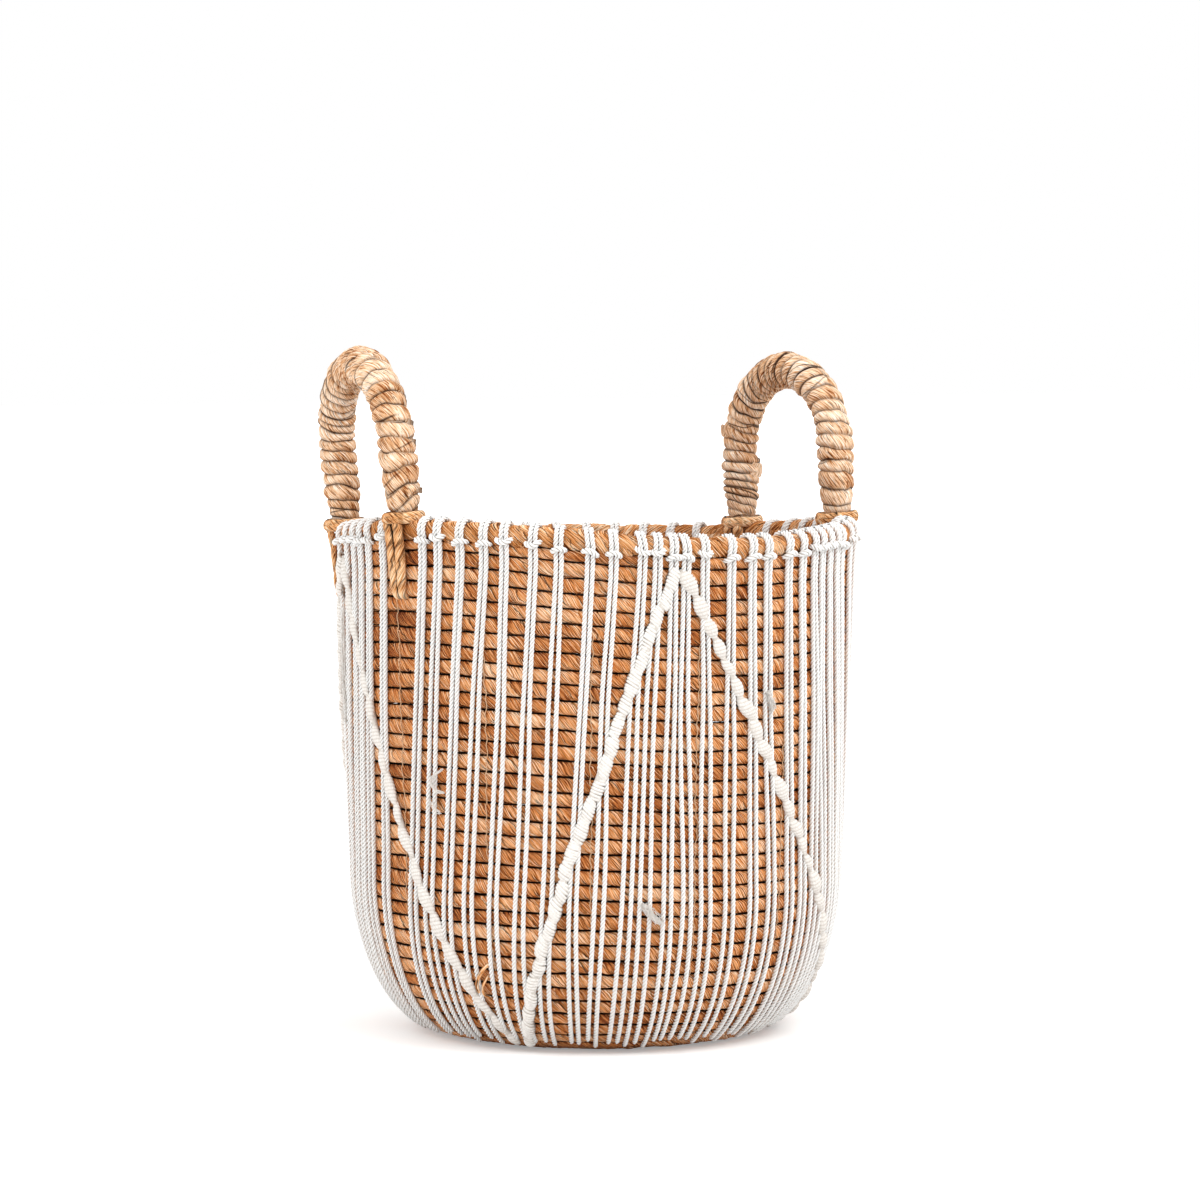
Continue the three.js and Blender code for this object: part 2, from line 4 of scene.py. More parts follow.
import bpy
import numpy as np
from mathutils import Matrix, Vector


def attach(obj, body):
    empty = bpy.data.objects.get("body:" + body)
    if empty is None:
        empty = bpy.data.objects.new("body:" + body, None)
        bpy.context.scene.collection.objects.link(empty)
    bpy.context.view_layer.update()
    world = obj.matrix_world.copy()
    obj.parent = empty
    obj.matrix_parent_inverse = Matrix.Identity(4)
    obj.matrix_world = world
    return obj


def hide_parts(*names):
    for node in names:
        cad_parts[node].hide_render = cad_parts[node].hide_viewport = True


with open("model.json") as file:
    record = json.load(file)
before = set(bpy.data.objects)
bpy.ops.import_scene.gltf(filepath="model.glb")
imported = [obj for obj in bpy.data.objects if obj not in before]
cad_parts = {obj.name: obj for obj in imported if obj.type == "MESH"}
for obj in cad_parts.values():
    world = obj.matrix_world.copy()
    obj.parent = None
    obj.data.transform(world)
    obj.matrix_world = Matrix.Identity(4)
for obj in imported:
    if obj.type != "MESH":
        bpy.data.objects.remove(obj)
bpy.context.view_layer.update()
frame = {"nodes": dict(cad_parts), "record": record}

# The stand for the camera: a long lens a little above the mouth, square to the show side of
# the basket, which faces 243.6 degrees round from +X. Sizes in this file are millimetres.
mm = 0.001
show_side = math.radians(243.6)
across = np.array([-math.sin(show_side), math.cos(show_side), 0.0])
towards = np.array([math.cos(show_side), math.sin(show_side), 0.0])
eye = Vector(across * 2.5 + towards * 3095 + np.array([0, 0, 468.7])) * mm
aim = Vector(across * 2.5 + np.array([0, 0, 266.7])) * mm
lens = bpy.data.cameras.new("long_lens")
lens.sensor_width = 36
lens.lens = 149.8
lens.clip_start = 0.1
lens.clip_end = 60
camera = bpy.data.objects.new("camera", lens)
camera.location = eye
camera.rotation_euler = (aim - eye).to_track_quat("-Z", "Y").to_euler()
bpy.context.scene.collection.objects.link(camera)
bpy.context.scene.camera = camera
bpy.context.scene.view_settings.view_transform = "Standard"


# The studio: a pale floor that keeps the basket's shadow, a white surround, a large soft lamp
# on the right and a weaker one on the left.
def shader(tree, kind, **values):
    """A node of a finish, with its settings and inputs: each input is a value or another's output."""
    made = tree.nodes.new("ShaderNode" + kind)
    for key, value in values.items():
        socket = None if hasattr(made, key) else made.inputs[key.replace("_", " ").title()]
        if socket is None:
            setattr(made, key, value)
        elif isinstance(value, bpy.types.NodeSocket):
            tree.links.new(value, socket)
        else:
            socket.default_value = value
    return made


def sums(tree, operation, *values):
    """A sum with outputs of other nodes and plain numbers."""
    made = shader(tree, "Math", operation=operation)
    for socket, value in zip(made.inputs, values):
        if isinstance(value, (int, float)):
            socket.default_value = value
        else:
            tree.links.new(value, socket)
    return made.outputs[0]


def paint(code):
    """The numbers of a colour, from the six figures it is written in, or from plain strengths."""
    if not isinstance(code, str):
        return [*np.broadcast_to(code, 3), 1]
    parts = [int(code[i:i + 2], 16) / 255 for i in (0, 2, 4)]
    return [c / 12.92 if c <= 0.04045 else ((c + 0.055) / 1.055) ** 2.4 for c in parts] + [1]


def ramp(tree, share, stops):
    """Colours or greys along a share from 0 to 1."""
    made = shader(tree, "ValToRGB", Fac=share)
    elements = made.color_ramp.elements
    while len(elements) < len(stops):
        elements.new(0.5)
    for element, (place, colour) in zip(elements, stops):
        element.position = place
        element.color = paint(colour)
    return made.outputs["Color"]


def own_look(tree):
    """1 for a ray that only looks at a surface, straight or by a reflection, and 0 for others."""
    path = shader(tree, "LightPath").outputs
    seen = sums(tree, "MAXIMUM", path["Is Camera Ray"], path["Is Glossy Ray"])
    return sums(tree, "MAXIMUM", seen, path["Is Transmission Ray"])


world = bpy.data.worlds.new("white_surround")
world.use_nodes = True
air = world.node_tree
air.nodes.clear()
air_mix = shader(air, "MixShader")
air.links.new(own_look(air), air_mix.inputs[0])
for socket, colour, strength in ((1, (1, 0.99, 0.98, 1), 0.96), (2, (1, 1, 1, 1), 1.0)):
    glow = shader(air, "Background", Color=colour, Strength=strength)
    air.links.new(glow.outputs[0], air_mix.inputs[socket])
shader(air, "OutputWorld", Surface=air_mix.outputs[0])
bpy.context.scene.world = world

ground = bpy.data.meshes.new("floor")
reach = 14.0
ground.from_pydata([(-reach, -reach, 0), (reach, -reach, 0), (reach, reach, 0), (-reach, reach, 0)],
                   [], [(0, 1, 2, 3)])
floor = bpy.data.objects.new("floor", ground)
bpy.context.scene.collection.objects.link(floor)
pale_floor = bpy.data.materials.new("pale_floor")
pale_floor.use_nodes = True
tree = pale_floor.node_tree
tree.nodes.clear()
grain = shader(tree, "TexNoise", Scale=3.0)
tint = ramp(tree, grain.outputs["Fac"], [(0.0, (0.85, 0.845, 0.84)), (1.0, (0.89, 0.885, 0.88))])
matt = shader(tree, "BsdfDiffuse", Color=tint)
place = shader(tree, "NewGeometry")
far = shader(tree, "VectorMath", operation="LENGTH", Vector=place.outputs["Position"])
fade = shader(tree, "MapRange", Value=far.outputs["Value"],
              From_Min=0.25, From_Max=1.1, To_Min=0.3, To_Max=0.8)
haze = shader(tree, "Emission", Color=(1, 1, 1, 1),
              Strength=sums(tree, "MULTIPLY", own_look(tree), fade.outputs["Result"]))
both = shader(tree, "AddShader")
tree.links.new(matt.outputs[0], both.inputs[0])
tree.links.new(haze.outputs[0], both.inputs[1])
shader(tree, "OutputMaterial", Surface=both.outputs[0])
ground.materials.append(pale_floor)

lamps = [("soft_lamp_right", 46, 46, 1.7, 28.0), ("soft_lamp_left", -58, 30, 1.5, 14.0)]
for name, turn, height, size, power in lamps:
    lamp = bpy.data.lights.new(name, "AREA")
    lamp.size = size
    lamp.energy = power
    holder = bpy.data.objects.new(name, lamp)
    lamp_angle = show_side + math.radians(turn)
    level = math.radians(height)
    away = Vector((math.cos(lamp_angle) * math.cos(level),
                   math.sin(lamp_angle) * math.cos(level), math.sin(level)))
    holder.location = away * 2.4 + Vector((0, 0, 0.2))
    holder.rotation_euler = (-away).to_track_quat("-Z", "Y").to_euler()
    bpy.context.scene.collection.objects.link(holder)


# The body: one long rope of dried banana leaf, twisted by hand and coiled from the middle of
# the base, over the rounded corner and up the wall. Each turn is sewn to the one below it,
# so its rows nest, and their leaf is laid in short overlapping pieces with open creases.
row_pitch = 9.0
mouth_radius, corner_radius = 154.8, 146.8
corner_width, corner_height = 58.3, 102.3
wall_height = 301.2
crown = 3.6
flat_radius = corner_radius - corner_width
seam_angle = math.radians(75)
wave_crests = [(6, 242, 1), (3, 185, 2), (2.3, 210, 3)]

bend_turns = np.linspace(0, math.pi / 2, 1201)
bend_points = np.stack([flat_radius + corner_width * np.sin(bend_turns),
                        crown + corner_height * (1 - np.cos(bend_turns))], axis=1)
bend_steps = np.hypot(*np.diff(bend_points, axis=0).T)
bend_lengths = np.concatenate([[0], np.cumsum(bend_steps)])
base_end = flat_radius
corner_end = base_end + bend_lengths[-1]
straight_part = np.array([mouth_radius - corner_radius, wall_height - crown - corner_height])
wall_end = corner_end + math.hypot(*straight_part)
wall_slope = straight_part / np.hypot(*straight_part)


def together(*values):
    """Values that belong together, side by side for each point."""
    return np.stack(np.broadcast_arrays(*values), axis=-1)


def unit(ways):
    """Ways of length one."""
    return ways / np.linalg.norm(ways, axis=-1, keepdims=True)


def wall_profile(length):
    """Radius and height of the middle of the rope, and its way up the wall, along the profile."""
    length = np.asarray(length, float)
    turn = np.interp(length - base_end, bend_lengths, bend_turns)
    radius = np.interp(length - base_end, bend_lengths, bend_points[:, 0])
    height = np.interp(length - base_end, bend_lengths, bend_points[:, 1])
    past = np.maximum(length - corner_end, 0)
    radius = np.where(length < base_end, length, radius + past * wall_slope[0])
    height = height + past * wall_slope[1]
    up = unit(together(corner_width * np.cos(turn), corner_height * np.sin(turn)))
    up = np.where((length > corner_end)[..., None], wall_slope, up)
    return radius, height, up[..., 0], up[..., 1]


def mouth_wave(angle):
    """How far the mouth rises above its mean height, in three waves round it."""
    return sum(h * np.cos(n * (angle - math.radians(crest))) for h, crest, n in wave_crests)


def at_wall(angle, length, out):
    """A place beside the wall: angle, length up the profile, and distance out from the rope."""
    radius, height, up_r, up_z = wall_profile(length)
    radius = radius + out * up_z
    height = np.maximum(height - out * up_r, 0) * (1 + mouth_wave(angle) / wall_height)
    return together(radius * np.cos(angle), radius * np.sin(angle), height)


def held(value):
    """A value, held between 0 and 1."""
    return np.clip(value, 0, 1)


def fuller(part, power):
    """A cosine or a sine round a rope, made fuller, so that the rope is squarer."""
    return np.sign(part) * np.abs(part) ** power


class Uneven:
    """The smooth unevenness of handwork, -1 to 1, along a length or over a surface."""

    drawn = 4096

    def __init__(self, seed, spacing, across=1.0):
        self.values = np.random.default_rng(seed).uniform(-1, 1, self.drawn)
        self.spacing, self.across = spacing, across

    def cell(self, x, y):
        return self.values[(x * 131 + y * 977) % self.drawn]

    def at(self, x, y=0.0):
        """Its values at places in millimetres, or in the unit of its spacing."""
        x, y = np.broadcast_arrays(np.divide(x, self.spacing), np.divide(y, self.across))
        i, j = np.floor(x).astype(int), np.floor(y).astype(int)
        u, v = x - i, y - j
        u, v = u * u * (3 - 2 * u), v * v * (3 - 2 * v)
        low = self.cell(i, j) * (1 - u) + self.cell(i + 1, j) * u
        high = self.cell(i, j + 1) * (1 - u) + self.cell(i + 1, j + 1) * u
        return low * (1 - v) + high * v


def grid_faces(rows, columns, first):
    """Faces of a tube of rings, and the corners of its spread-out surface for each of them."""
    i, j = np.meshgrid(np.arange(rows - 1), np.arange(columns), indexing="ij")
    i, j = i.ravel(), j.ravel()
    k = (j + 1) % columns
    below = i * columns
    above = below + columns
    faces = together(below + j, below + k, above + k, above + j)
    spread = together(i, j, i, j + 1, i + 1, j + 1, i + 1, j).reshape(-1, 4, 2)
    return faces + first, spread


class Piece:
    """Gathers tubes of rings, closes their ends, and makes one object of them."""

    def __init__(self, name):
        self.name = name
        self.points, self.faces, self.caps, self.looks, self.cap_looks = [], [], [], [], []
        self.count = 0

    def add(self, rings, spread, marks=(0, 0, 0), flip=False):
        """Rings of points; where each lies on the spread-out surface; three marks for its finish."""
        rows, columns = rings.shape[:2]
        faces, corners = grid_faces(rows, columns, self.count)
        looks = np.zeros((rows, columns + 1, 5))
        looks[..., :2], looks[..., 2:] = spread, marks
        worn = looks[corners[..., 0], corners[..., 1]]
        first = np.arange(columns) + self.count
        last = first + (rows - 1) * columns
        ends = [first[::-1], last]
        if flip:
            faces, worn, ends = faces[:, ::-1], worn[:, ::-1], [first, last[::-1]]
        self.faces.append(faces)
        self.looks.append(worn.reshape(-1, 5))
        self.caps += ends
        self.cap_looks += [np.repeat(looks[:1, 0], columns, 0), np.repeat(looks[-1:, 0], columns, 0)]
        self.points.append(rings.reshape(-1, 3))
        self.count += rows * columns
        return self

    def make(self, finish, body, slot, *replaced):
        """One object of it all, in metres, which rides on a body and stands for solids."""
        points = np.concatenate(self.points) * mm
        faces = np.concatenate(self.faces)
        sizes = np.concatenate([np.full(len(faces), 4), [len(c) for c in self.caps]])
        corners = np.concatenate([faces.ravel(), *self.caps]).astype(np.int32)
        looks = np.concatenate(self.looks + self.cap_looks)
        starts = np.concatenate([[0], np.cumsum(sizes)[:-1]]).astype(np.int32)
        mesh = bpy.data.meshes.new(self.name)
        mesh.vertices.add(len(points))
        mesh.vertices.foreach_set("co", points.astype(np.float32).ravel())
        mesh.loops.add(len(corners))
        mesh.loops.foreach_set("vertex_index", corners)
        mesh.polygons.add(len(sizes))
        mesh.polygons.foreach_set("loop_start", starts)
        mesh.polygons.foreach_set("use_smooth", np.ones(len(sizes), bool))
        mesh.update(calc_edges=True)
        spread = (looks[:, :2] * mm).astype(np.float32)
        mesh.uv_layers.new(name="UVMap").data.foreach_set("uv", spread.ravel())
        marks = np.concatenate([looks[:, 2:], np.ones((len(looks), 1))], axis=1)
        lay = mesh.attributes.new("lay", "FLOAT_COLOR", "CORNER")
        lay.data.foreach_set("color", marks.astype(np.float32).ravel())
        mesh.materials.append(finish)
        piece = bpy.data.objects.new(self.name, mesh)
        bpy.context.scene.collection.objects.link(piece)
        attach(piece, body)
        if replaced:
            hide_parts(*replaced)


class LeafLay:
    """The leaf of a rope: pieces laid on slantwise, each edge standing over the one before."""

    pieces = 6000

    def __init__(self, seed, shortest, longest, slant, step, groove):
        draw = np.random.default_rng(seed)
        self.slant, self.step, self.groove = slant, step, groove
        self.widths = draw.uniform(shortest, longest, self.pieces)
        self.edges = np.concatenate([[-60], -60 + np.cumsum(self.widths)])
        self.steps = draw.uniform(0.15, 1, self.pieces) ** 1.6
        self.wobble = Uneven(seed + 1, 9, 3.5)
        self.lumps = Uneven(seed + 2, 12, 5)
        self.wrinkles = Uneven(seed + 3, 1.9, 6)
        self.patches = Uneven(seed + 4, 45, 14)
        self.drift = Uneven(seed + 5, 16, 9)
        self.jitter = draw.uniform(-0.4, 0.4, self.pieces)

    def lay(self, along, turn, girth):
        """Heights of the leaf over the rope, the marks for its finish, and its lay: the marks
        are its place counted in pieces, how pale it is, and how much painted shade it has."""
        round_way = turn / math.tau * girth
        lie = along - self.slant * np.sin(turn) + 2.4 * self.wobble.at(along, round_way)
        piece = np.clip(np.searchsorted(self.edges, lie) - 1, 0, self.pieces - 1)
        part = (lie - self.edges[piece]) / self.widths[piece]
        step = self.step * self.steps[piece]
        height = step * ((1 - part) + 0.35 * np.sin(math.pi * part))
        height += 0.36 * self.lumps.at(along, round_way)
        height += self.groove * self.wrinkles.at(lie, round_way)
        rest = (1 - part) * self.widths[piece]
        height -= 0.45 * held(1 - rest / 0.9) * held(step / self.step * 1.6)
        pale = 0.5 + 0.16 * self.patches.at(along, round_way)
        fibres = along - self.slant * np.sin(turn) + 0.8 * self.drift.at(along, round_way)
        return height, together(piece + part, pale, 0), fibres + self.jitter[piece] * round_way


def mix_colours(tree, share, low, high):
    """Passes from one colour to another by a share; each is a socket or a written colour."""
    mix = shader(tree, "Mix", data_type="RGBA", Factor=share)
    for socket, colour in ((mix.inputs[6], low), (mix.inputs[7], high)):
        if isinstance(colour, str):
            socket.default_value = paint(colour)
        else:
            tree.links.new(colour, socket)
    return mix.outputs[2]


def weighed(tree, start, *terms):
    """A value, plus how far each other one is from a half, times its weight."""
    total = start
    for value, weight in terms:
        total = sums(tree, "MULTIPLY_ADD", value, weight, total)
    return sums(tree, "SUBTRACT", total, 0.5 * sum(weight for _, weight in terms))


def streaks(tree, across_size, along_size, turn=0.0, detail=3.0, layer=0.0):
    """Fine fibre lines over a piece's spread-out surface, at their real size in millimetres."""
    spread = shader(tree, "UVMap", uv_map="UVMap")
    turned = shader(tree, "Mapping", Vector=spread.outputs["UV"], Rotation=(0, 0, turn))
    lie = shader(tree, "Mapping", Vector=turned.outputs["Vector"], Location=(layer, layer * 0.7, 0),
                 Scale=(1000 / across_size, 1000 / along_size, 1))
    noise = shader(tree, "TexNoise", Vector=lie.outputs["Vector"], Scale=1.0, Detail=detail,
                   Roughness=0.6)
    return noise.outputs["Fac"]


def marks_of(tree):
    """The three marks of a piece: its place counted in leaf pieces, how pale, and how much painted shade.
    """
    read = shader(tree, "Attribute", attribute_name="lay")
    return shader(tree, "SeparateColor", Color=read.outputs["Color"]).outputs


def surface(name, roughness, sheen=0.0):
    """A new finish, its tree of nodes, and the shader that shows it."""
    made = bpy.data.materials.new(name)
    made.use_nodes = True
    skin = made.node_tree.nodes["Principled BSDF"]
    skin.inputs["Roughness"].default_value = roughness
    skin.inputs["Sheen Weight"].default_value = sheen
    skin.inputs["Sheen Roughness"].default_value = 0.5
    return made, made.node_tree, skin


def raise_fibres(tree, skin, height, depth):
    """Relief too fine for the mesh: single fibres, so many millimetres deep."""
    bump = shader(tree, "Bump", Strength=1.0, Distance=depth * mm, Height=height)
    tree.links.new(bump.outputs["Normal"], skin.inputs["Normal"])


def leaf_finish(name, tones, dark, turn=0.0, contrast=1.0, seam_turn=None):
    """Dried leaf: fine fibres in light and dark, a painted highlight on each raised edge, and painted
    shade, in the colour dark, on broken crack lines and in a line under each edge.
    In a coil the gap to the next row has painted shade too: seam_turn is millimetres for a radian round."""
    finish, tree, skin = surface(name, 0.68)
    count, pale, shade = marks_of(tree)[:3]
    own = shader(tree, "TexWhiteNoise", noise_dimensions="1D", W=sums(tree, "FLOOR", count))
    chance = shader(tree, "SeparateColor", Color=own.outputs["Color"])
    part = sums(tree, "FRACT", count)
    fine = streaks(tree, 0.7, 12.0, turn, detail=4.0)
    broad = streaks(tree, 3.0, 16.0, turn, layer=3.0)
    # Painted highlight along each raised edge of a piece, and a little painted shade towards its
    # tucked-under end.
    lip_light_and_shade = ramp(tree, part, [(0.0, 0.95), (0.13, 0.5), (0.8, 0.5), (1.0, 0.3)])
    share = weighed(tree, pale, (chance.outputs[0], 0.2), (fine, 4.0 * contrast),
                    (broad, 1.0 * contrast), (lip_light_and_shade, 0.35))
    colour = ramp(tree, share, tones)
    # Broken crack lines, darkened as painted shade.
    crack_shade = ramp(tree, streaks(tree, 0.75, 9.0, turn, layer=7.0),
                  [(0.385, 0.95 * contrast), (0.44, 0.0)])
    # Painted shade in a dark line under each overlapping edge and along the raised edge, broken up at
    # random.
    under = sums(tree, "MULTIPLY", ramp(tree, part, [(0.0, 0.6), (0.03, 0.0), (0.89, 0.0), (0.97, 1.0)]),
                 ramp(tree, broad, [(0.4, 0.25), (0.56, 1.0)]))
    under = sums(tree, "MULTIPLY", under, ramp(tree, chance.outputs[1], [(0.2, 0.15), (0.7, 0.95)]))
    shade = sums(tree, "MAXIMUM", sums(tree, "MAXIMUM", crack_shade, under), shade)
    # Painted shade in the gap between rows, with a ragged edge.
    if seam_turn:
        spread = shader(tree, "UVMap", uv_map="UVMap")
        sides = shader(tree, "SeparateXYZ", Vector=spread.outputs["UV"])
        swing = sums(tree, "SINE", sums(tree, "DIVIDE", sides.outputs["Y"], seam_turn * mm))
        ragged = streaks(tree, 3.5, 30.0, layer=11.0)
        gap = weighed(tree, sums(tree, "ABSOLUTE", swing), (ragged, 0.24))
        shade = sums(tree, "MAXIMUM", shade, ramp(tree, gap, [(0.76, 0.0), (0.87, 1.0)]))
    tree.links.new(mix_colours(tree, shade, colour, dark), skin.inputs["Base Color"])
    raise_fibres(tree, skin, weighed(tree, fine, (broad, 0.5)), 0.45)
    skin.inputs["Specular IOR Level"].default_value = 0.12
    return finish


leaf_turn = 4.3
leaf_rope = leaf_finish("leaf_rope", [(0.0, "4A1D08"), (0.2, "95491C"), (0.4, "C6773C"), (0.57, "DC9357"),
                                      (0.76, "EDB581"), (1.0, "FCDFC2")], "140702", seam_turn=leaf_turn)

row_wander = Uneven(11, 0.045)
row_ragged = Uneven(12, 0.009)
region = Uneven(13, 38, 26)
row_gap = 0.06
# Patches where the rope's colour is made darker: angle from the show side, length up the profile, width,
# height and how much.
darker_patches = [(-54, 356, 8, 20, 0.42), (-42, 310, 14, 60, 0.09), (-30, 165, 14, 40, 0.06)]
last_turn = wall_end / row_pitch + 0.3
rope_end = last_turn + 0.2
rope_sides = 18
half_out, half_out_below, half_in = 4.05, 3.7, 4.4


def row_edge(turn):
    """Where a row meets the one below it, from their even pitch."""
    return 0.75 * np.clip((turn - 3) / 4, 0.15, 1) * row_wander.at(turn) + 0.22 * row_ragged.at(turn)


def coil_of_rope(name, first, last, step, leaf, replaced):
    """A length of the coiled rope, between two counts of turns from the middle of the base."""
    turns = np.linspace(first, last, 4001)
    girths = math.tau * wall_profile(turns * row_pitch)[0]
    run = np.concatenate([[0], np.cumsum((girths[1:] + girths[:-1]) / 2 * np.diff(turns))])
    along = np.linspace(0, run[-1], max(8, int(run[-1] / step)))
    turn = np.interp(along, run, turns)
    low = (turn - 0.5) * row_pitch + row_edge(turn)
    high = np.minimum((turn + 0.5) * row_pitch + row_edge(turn + 1), wall_end)
    middle = (low + high)[:, None] / 2
    half = np.maximum((high - low - row_gap)[:, None] / 2, 0.4)
    radius, height, up_r, up_z = wall_profile(middle)
    way = np.linspace(-math.pi, math.pi, rope_sides + 1)
    rise, marks, lie = leaf.lay(along[:, None] + first * 750, way, 27)
    cos, sin = np.cos(way), np.sin(way)
    outer = np.where(turn[:, None] * row_pitch < base_end + 12, half_out_below, half_out)
    deep = np.where(cos > 0, outer, half_in)
    out = deep * fuller(cos, 0.7) * (1 + (rise - 0.3) / 4.3)
    up = half * fuller(sin, 0.6) * (1 + np.minimum(rise - 0.3, 0) / 9)
    angle = seam_angle - turn[:, None] * math.tau
    level = np.maximum(height - out * up_r + up * up_z, 0) * (1 + mouth_wave(angle) / wall_height)
    spoke = radius + out * up_z + up * up_r
    rings = together(spoke * np.cos(angle), spoke * np.sin(angle), level)
    marks[..., 1] += 0.13 * region.at(angle * 150, level)
    from_show = (np.degrees(angle - show_side) + 180) % 360 - 180
    for side, at, wide, tall, much in darker_patches:
        marks[..., 1] -= much * np.exp(-((from_show - side) / wide) ** 2 - ((middle - at) / tall) ** 2)
    made = Piece(name).add(rings[:, :-1], together(lie, way * leaf_turn), marks, flip=True)
    made.make(leaf_rope, "basket", "leaf_rope", replaced)


body_leaf = LeafLay(21, 7, 19, 5.2, 0.7, 0.3)
base_turns, corner_turns = round(base_end / row_pitch), round(corner_end / row_pitch)
wall_share = (last_turn - 1 - corner_turns) / 3
marks_up = [corner_turns, corner_turns + round(wall_share), corner_turns + round(2 * wall_share)]
coil_of_rope("base_rope", 0.03, base_turns, 1.6, body_leaf, "base_coil")
coil_of_rope("corner_rope_low", base_turns, base_turns + 8, 1.3, body_leaf, "corner_coil")
coil_of_rope("corner_rope_high", base_turns + 8, corner_turns, 1.3, body_leaf, "corner_coil")
for name, start, end in zip(("lower", "middle", "upper"), marks_up, [*marks_up[1:], rope_end]):
    half_way = (start + end) / 2 if end < rope_end else round((start + end) / 2)
    coil_of_rope(f"wall_rope_{name}_a", start, half_way, 1.3, body_leaf, f"wall_coil_{name}")
    coil_of_rope(f"wall_rope_{name}_b", half_way, end, 1.3, body_leaf, f"wall_coil_{name}")

# The places of the cotton cords along the mouth: those of the show side in degrees from its
# middle, then even ones on the far side, all clear of the handles' feet.
rim_thickness = 11.5
rim_middle = wall_end + 0.35 + rim_thickness / 2
rim_top = rim_middle + rim_thickness / 2
foot_radius = mouth_radius + 0.8
handle_span = 104.4
foot_turn = math.asin(handle_span / 2 / foot_radius)
handle_middles = {"right": 6.8, "left": 176.2}
right_middle, left_middle = np.radians(list(handle_middles.values())).tolist()
feet = {("right", "front"): right_middle - foot_turn, ("right", "rear"): right_middle + foot_turn,
        ("left", "rear"): left_middle - foot_turn, ("left", "front"): left_middle + foot_turn}
front_knots = [-71.3, -66.5, -62.7, -58.9, -53, -40.1, -35.8, -30.1, -24.4, -19.7, -13.3, -7.8, -1.2, 3.8,
               9.9, 13.2, 16.7, 19.5, 23.8, 30.2, 35.6, 39.9, 46.2, 50.9, 55.3, 58.6, 62.3, 66.1, 69.2]
bar_turns = [-75.5, -19.5, 18.1, 70, 118, 160, 203, 245]
foot_room = (6.4 + 0.35 + 3 + 3.4) / mouth_radius
far_span = 360 + front_knots[0] - front_knots[-1]
far_count = round(far_span / 7)
far_knots = [front_knots[-1] + i * far_span / far_count for i in range(1, far_count)]


def clear_of_feet(place):
    """Whether a cord hung there stands clear of the handles' feet and their ties."""
    angle = math.radians(place) + show_side
    return all(abs(math.remainder(angle - foot, math.tau)) > foot_room for foot in feet.values())


knots = sorted(k + 360 if k < bar_turns[0] else k
               for k in front_knots + far_knots if clear_of_feet(k))
knot_angles = np.radians(np.array(knots)) + show_side

# The rim: one thicker twisted rope sewn on top of the last row. The cords that hang over it
# pinch it, so that it swells between them.
rim_leaf = LeafLay(35, 6, 16, 7.5, 1.3, 0.42)
rim_girth = math.tau * mouth_radius
rim_along = np.linspace(0.2, rim_girth - 0.2, 1250)[:, None]
rim_angle = seam_angle - rim_along / mouth_radius
rim_way = np.linspace(-math.pi, math.pi, 29)
rise, marks, lie = rim_leaf.lay(rim_along, rim_way, 36)
apart = np.abs((rim_angle - knot_angles[None, :] + math.pi) % math.tau - math.pi) * mouth_radius
pinch = np.exp(-(apart.min(axis=1, keepdims=True) / 3.6) ** 2)
under_foot = np.abs((rim_angle - np.array(list(feet.values())) + math.pi) % math.tau - math.pi)
pressed = np.exp(-(under_foot.min(axis=1, keepdims=True) * mouth_radius / 9) ** 2)
rim_size = rim_thickness / 2 * (1.0 - 0.16 * pinch - 0.05 * pressed)
rim_size = rim_size + (rise - 0.4) * (1 - 0.6 * pinch) * (1 - 0.9 * pressed)
rim_up = rim_size * fuller(np.sin(rim_way), 0.85)
rim_up = np.where(rim_up < 0, 1.2 * rim_up, rim_up)
rim_out = rim_size * fuller(np.cos(rim_way), 0.85)
rim_drop = Uneven(37, 26).at(rim_along) * 0.6
rings = at_wall(rim_angle, rim_middle + rim_up + rim_drop, rim_out)
rim_rope = Piece("rim_rope").add(rings[:, :-1], together(lie, rim_way * 5.75), marks, flip=True)
rim_finish = leaf_finish("rim_leaf", [(0.0, "5A2A0C"), (0.2, "A05C28"), (0.42, "CD8447"), (0.6, "E0A068"),
                                      (0.8, "F0C293"), (1.0, "FCE2C4")], "140702")
rim_rope.make(rim_finish, "basket", "leaf_rope", "rim_coil")


# The sewing: thin twisted thread, drawn over every row in columns up the wall, which holds the
# rows together. It lies close to the leaf and dips into each gap.
def frames_along(points, hint):
    """Directions across a line: towards a hint as far as they can, and square to both."""
    way = unit(np.gradient(points, axis=0))
    first = unit(hint - way * np.sum(hint * way, axis=1, keepdims=True))
    return first, np.cross(way, first)


def rings_about(points, hint, outward, sideways):
    """Rings about a line, from how far each of their points lies along its two directions."""
    first, second = frames_along(points, np.broadcast_to(hint, points.shape))
    return points[:, None] + outward[..., None] * first[:, None] + sideways[..., None] * second[:, None]


def spokes(angle):
    """Level directions outwards from the middle of the basket."""
    return together(np.cos(angle), np.sin(angle), 0.0)


def round_tube(points, hint, size, sides):
    """Rings of a round tube along a line; the size may change along it."""
    turn = np.arange(sides) * math.tau / sides
    half = np.broadcast_to(size, len(points))[:, None] / 2
    return rings_about(points, hint, half * np.cos(turn), half * np.sin(turn))


def run_of(points):
    """How far along a line each of its points lies."""
    return np.concatenate([[0], np.cumsum(np.linalg.norm(np.diff(points, axis=0), axis=1))])


def tube_spread(points, sides, girth):
    """The spread-out surface of a round tube."""
    return together(run_of(points)[:, None], np.arange(sides + 1) / sides * girth)


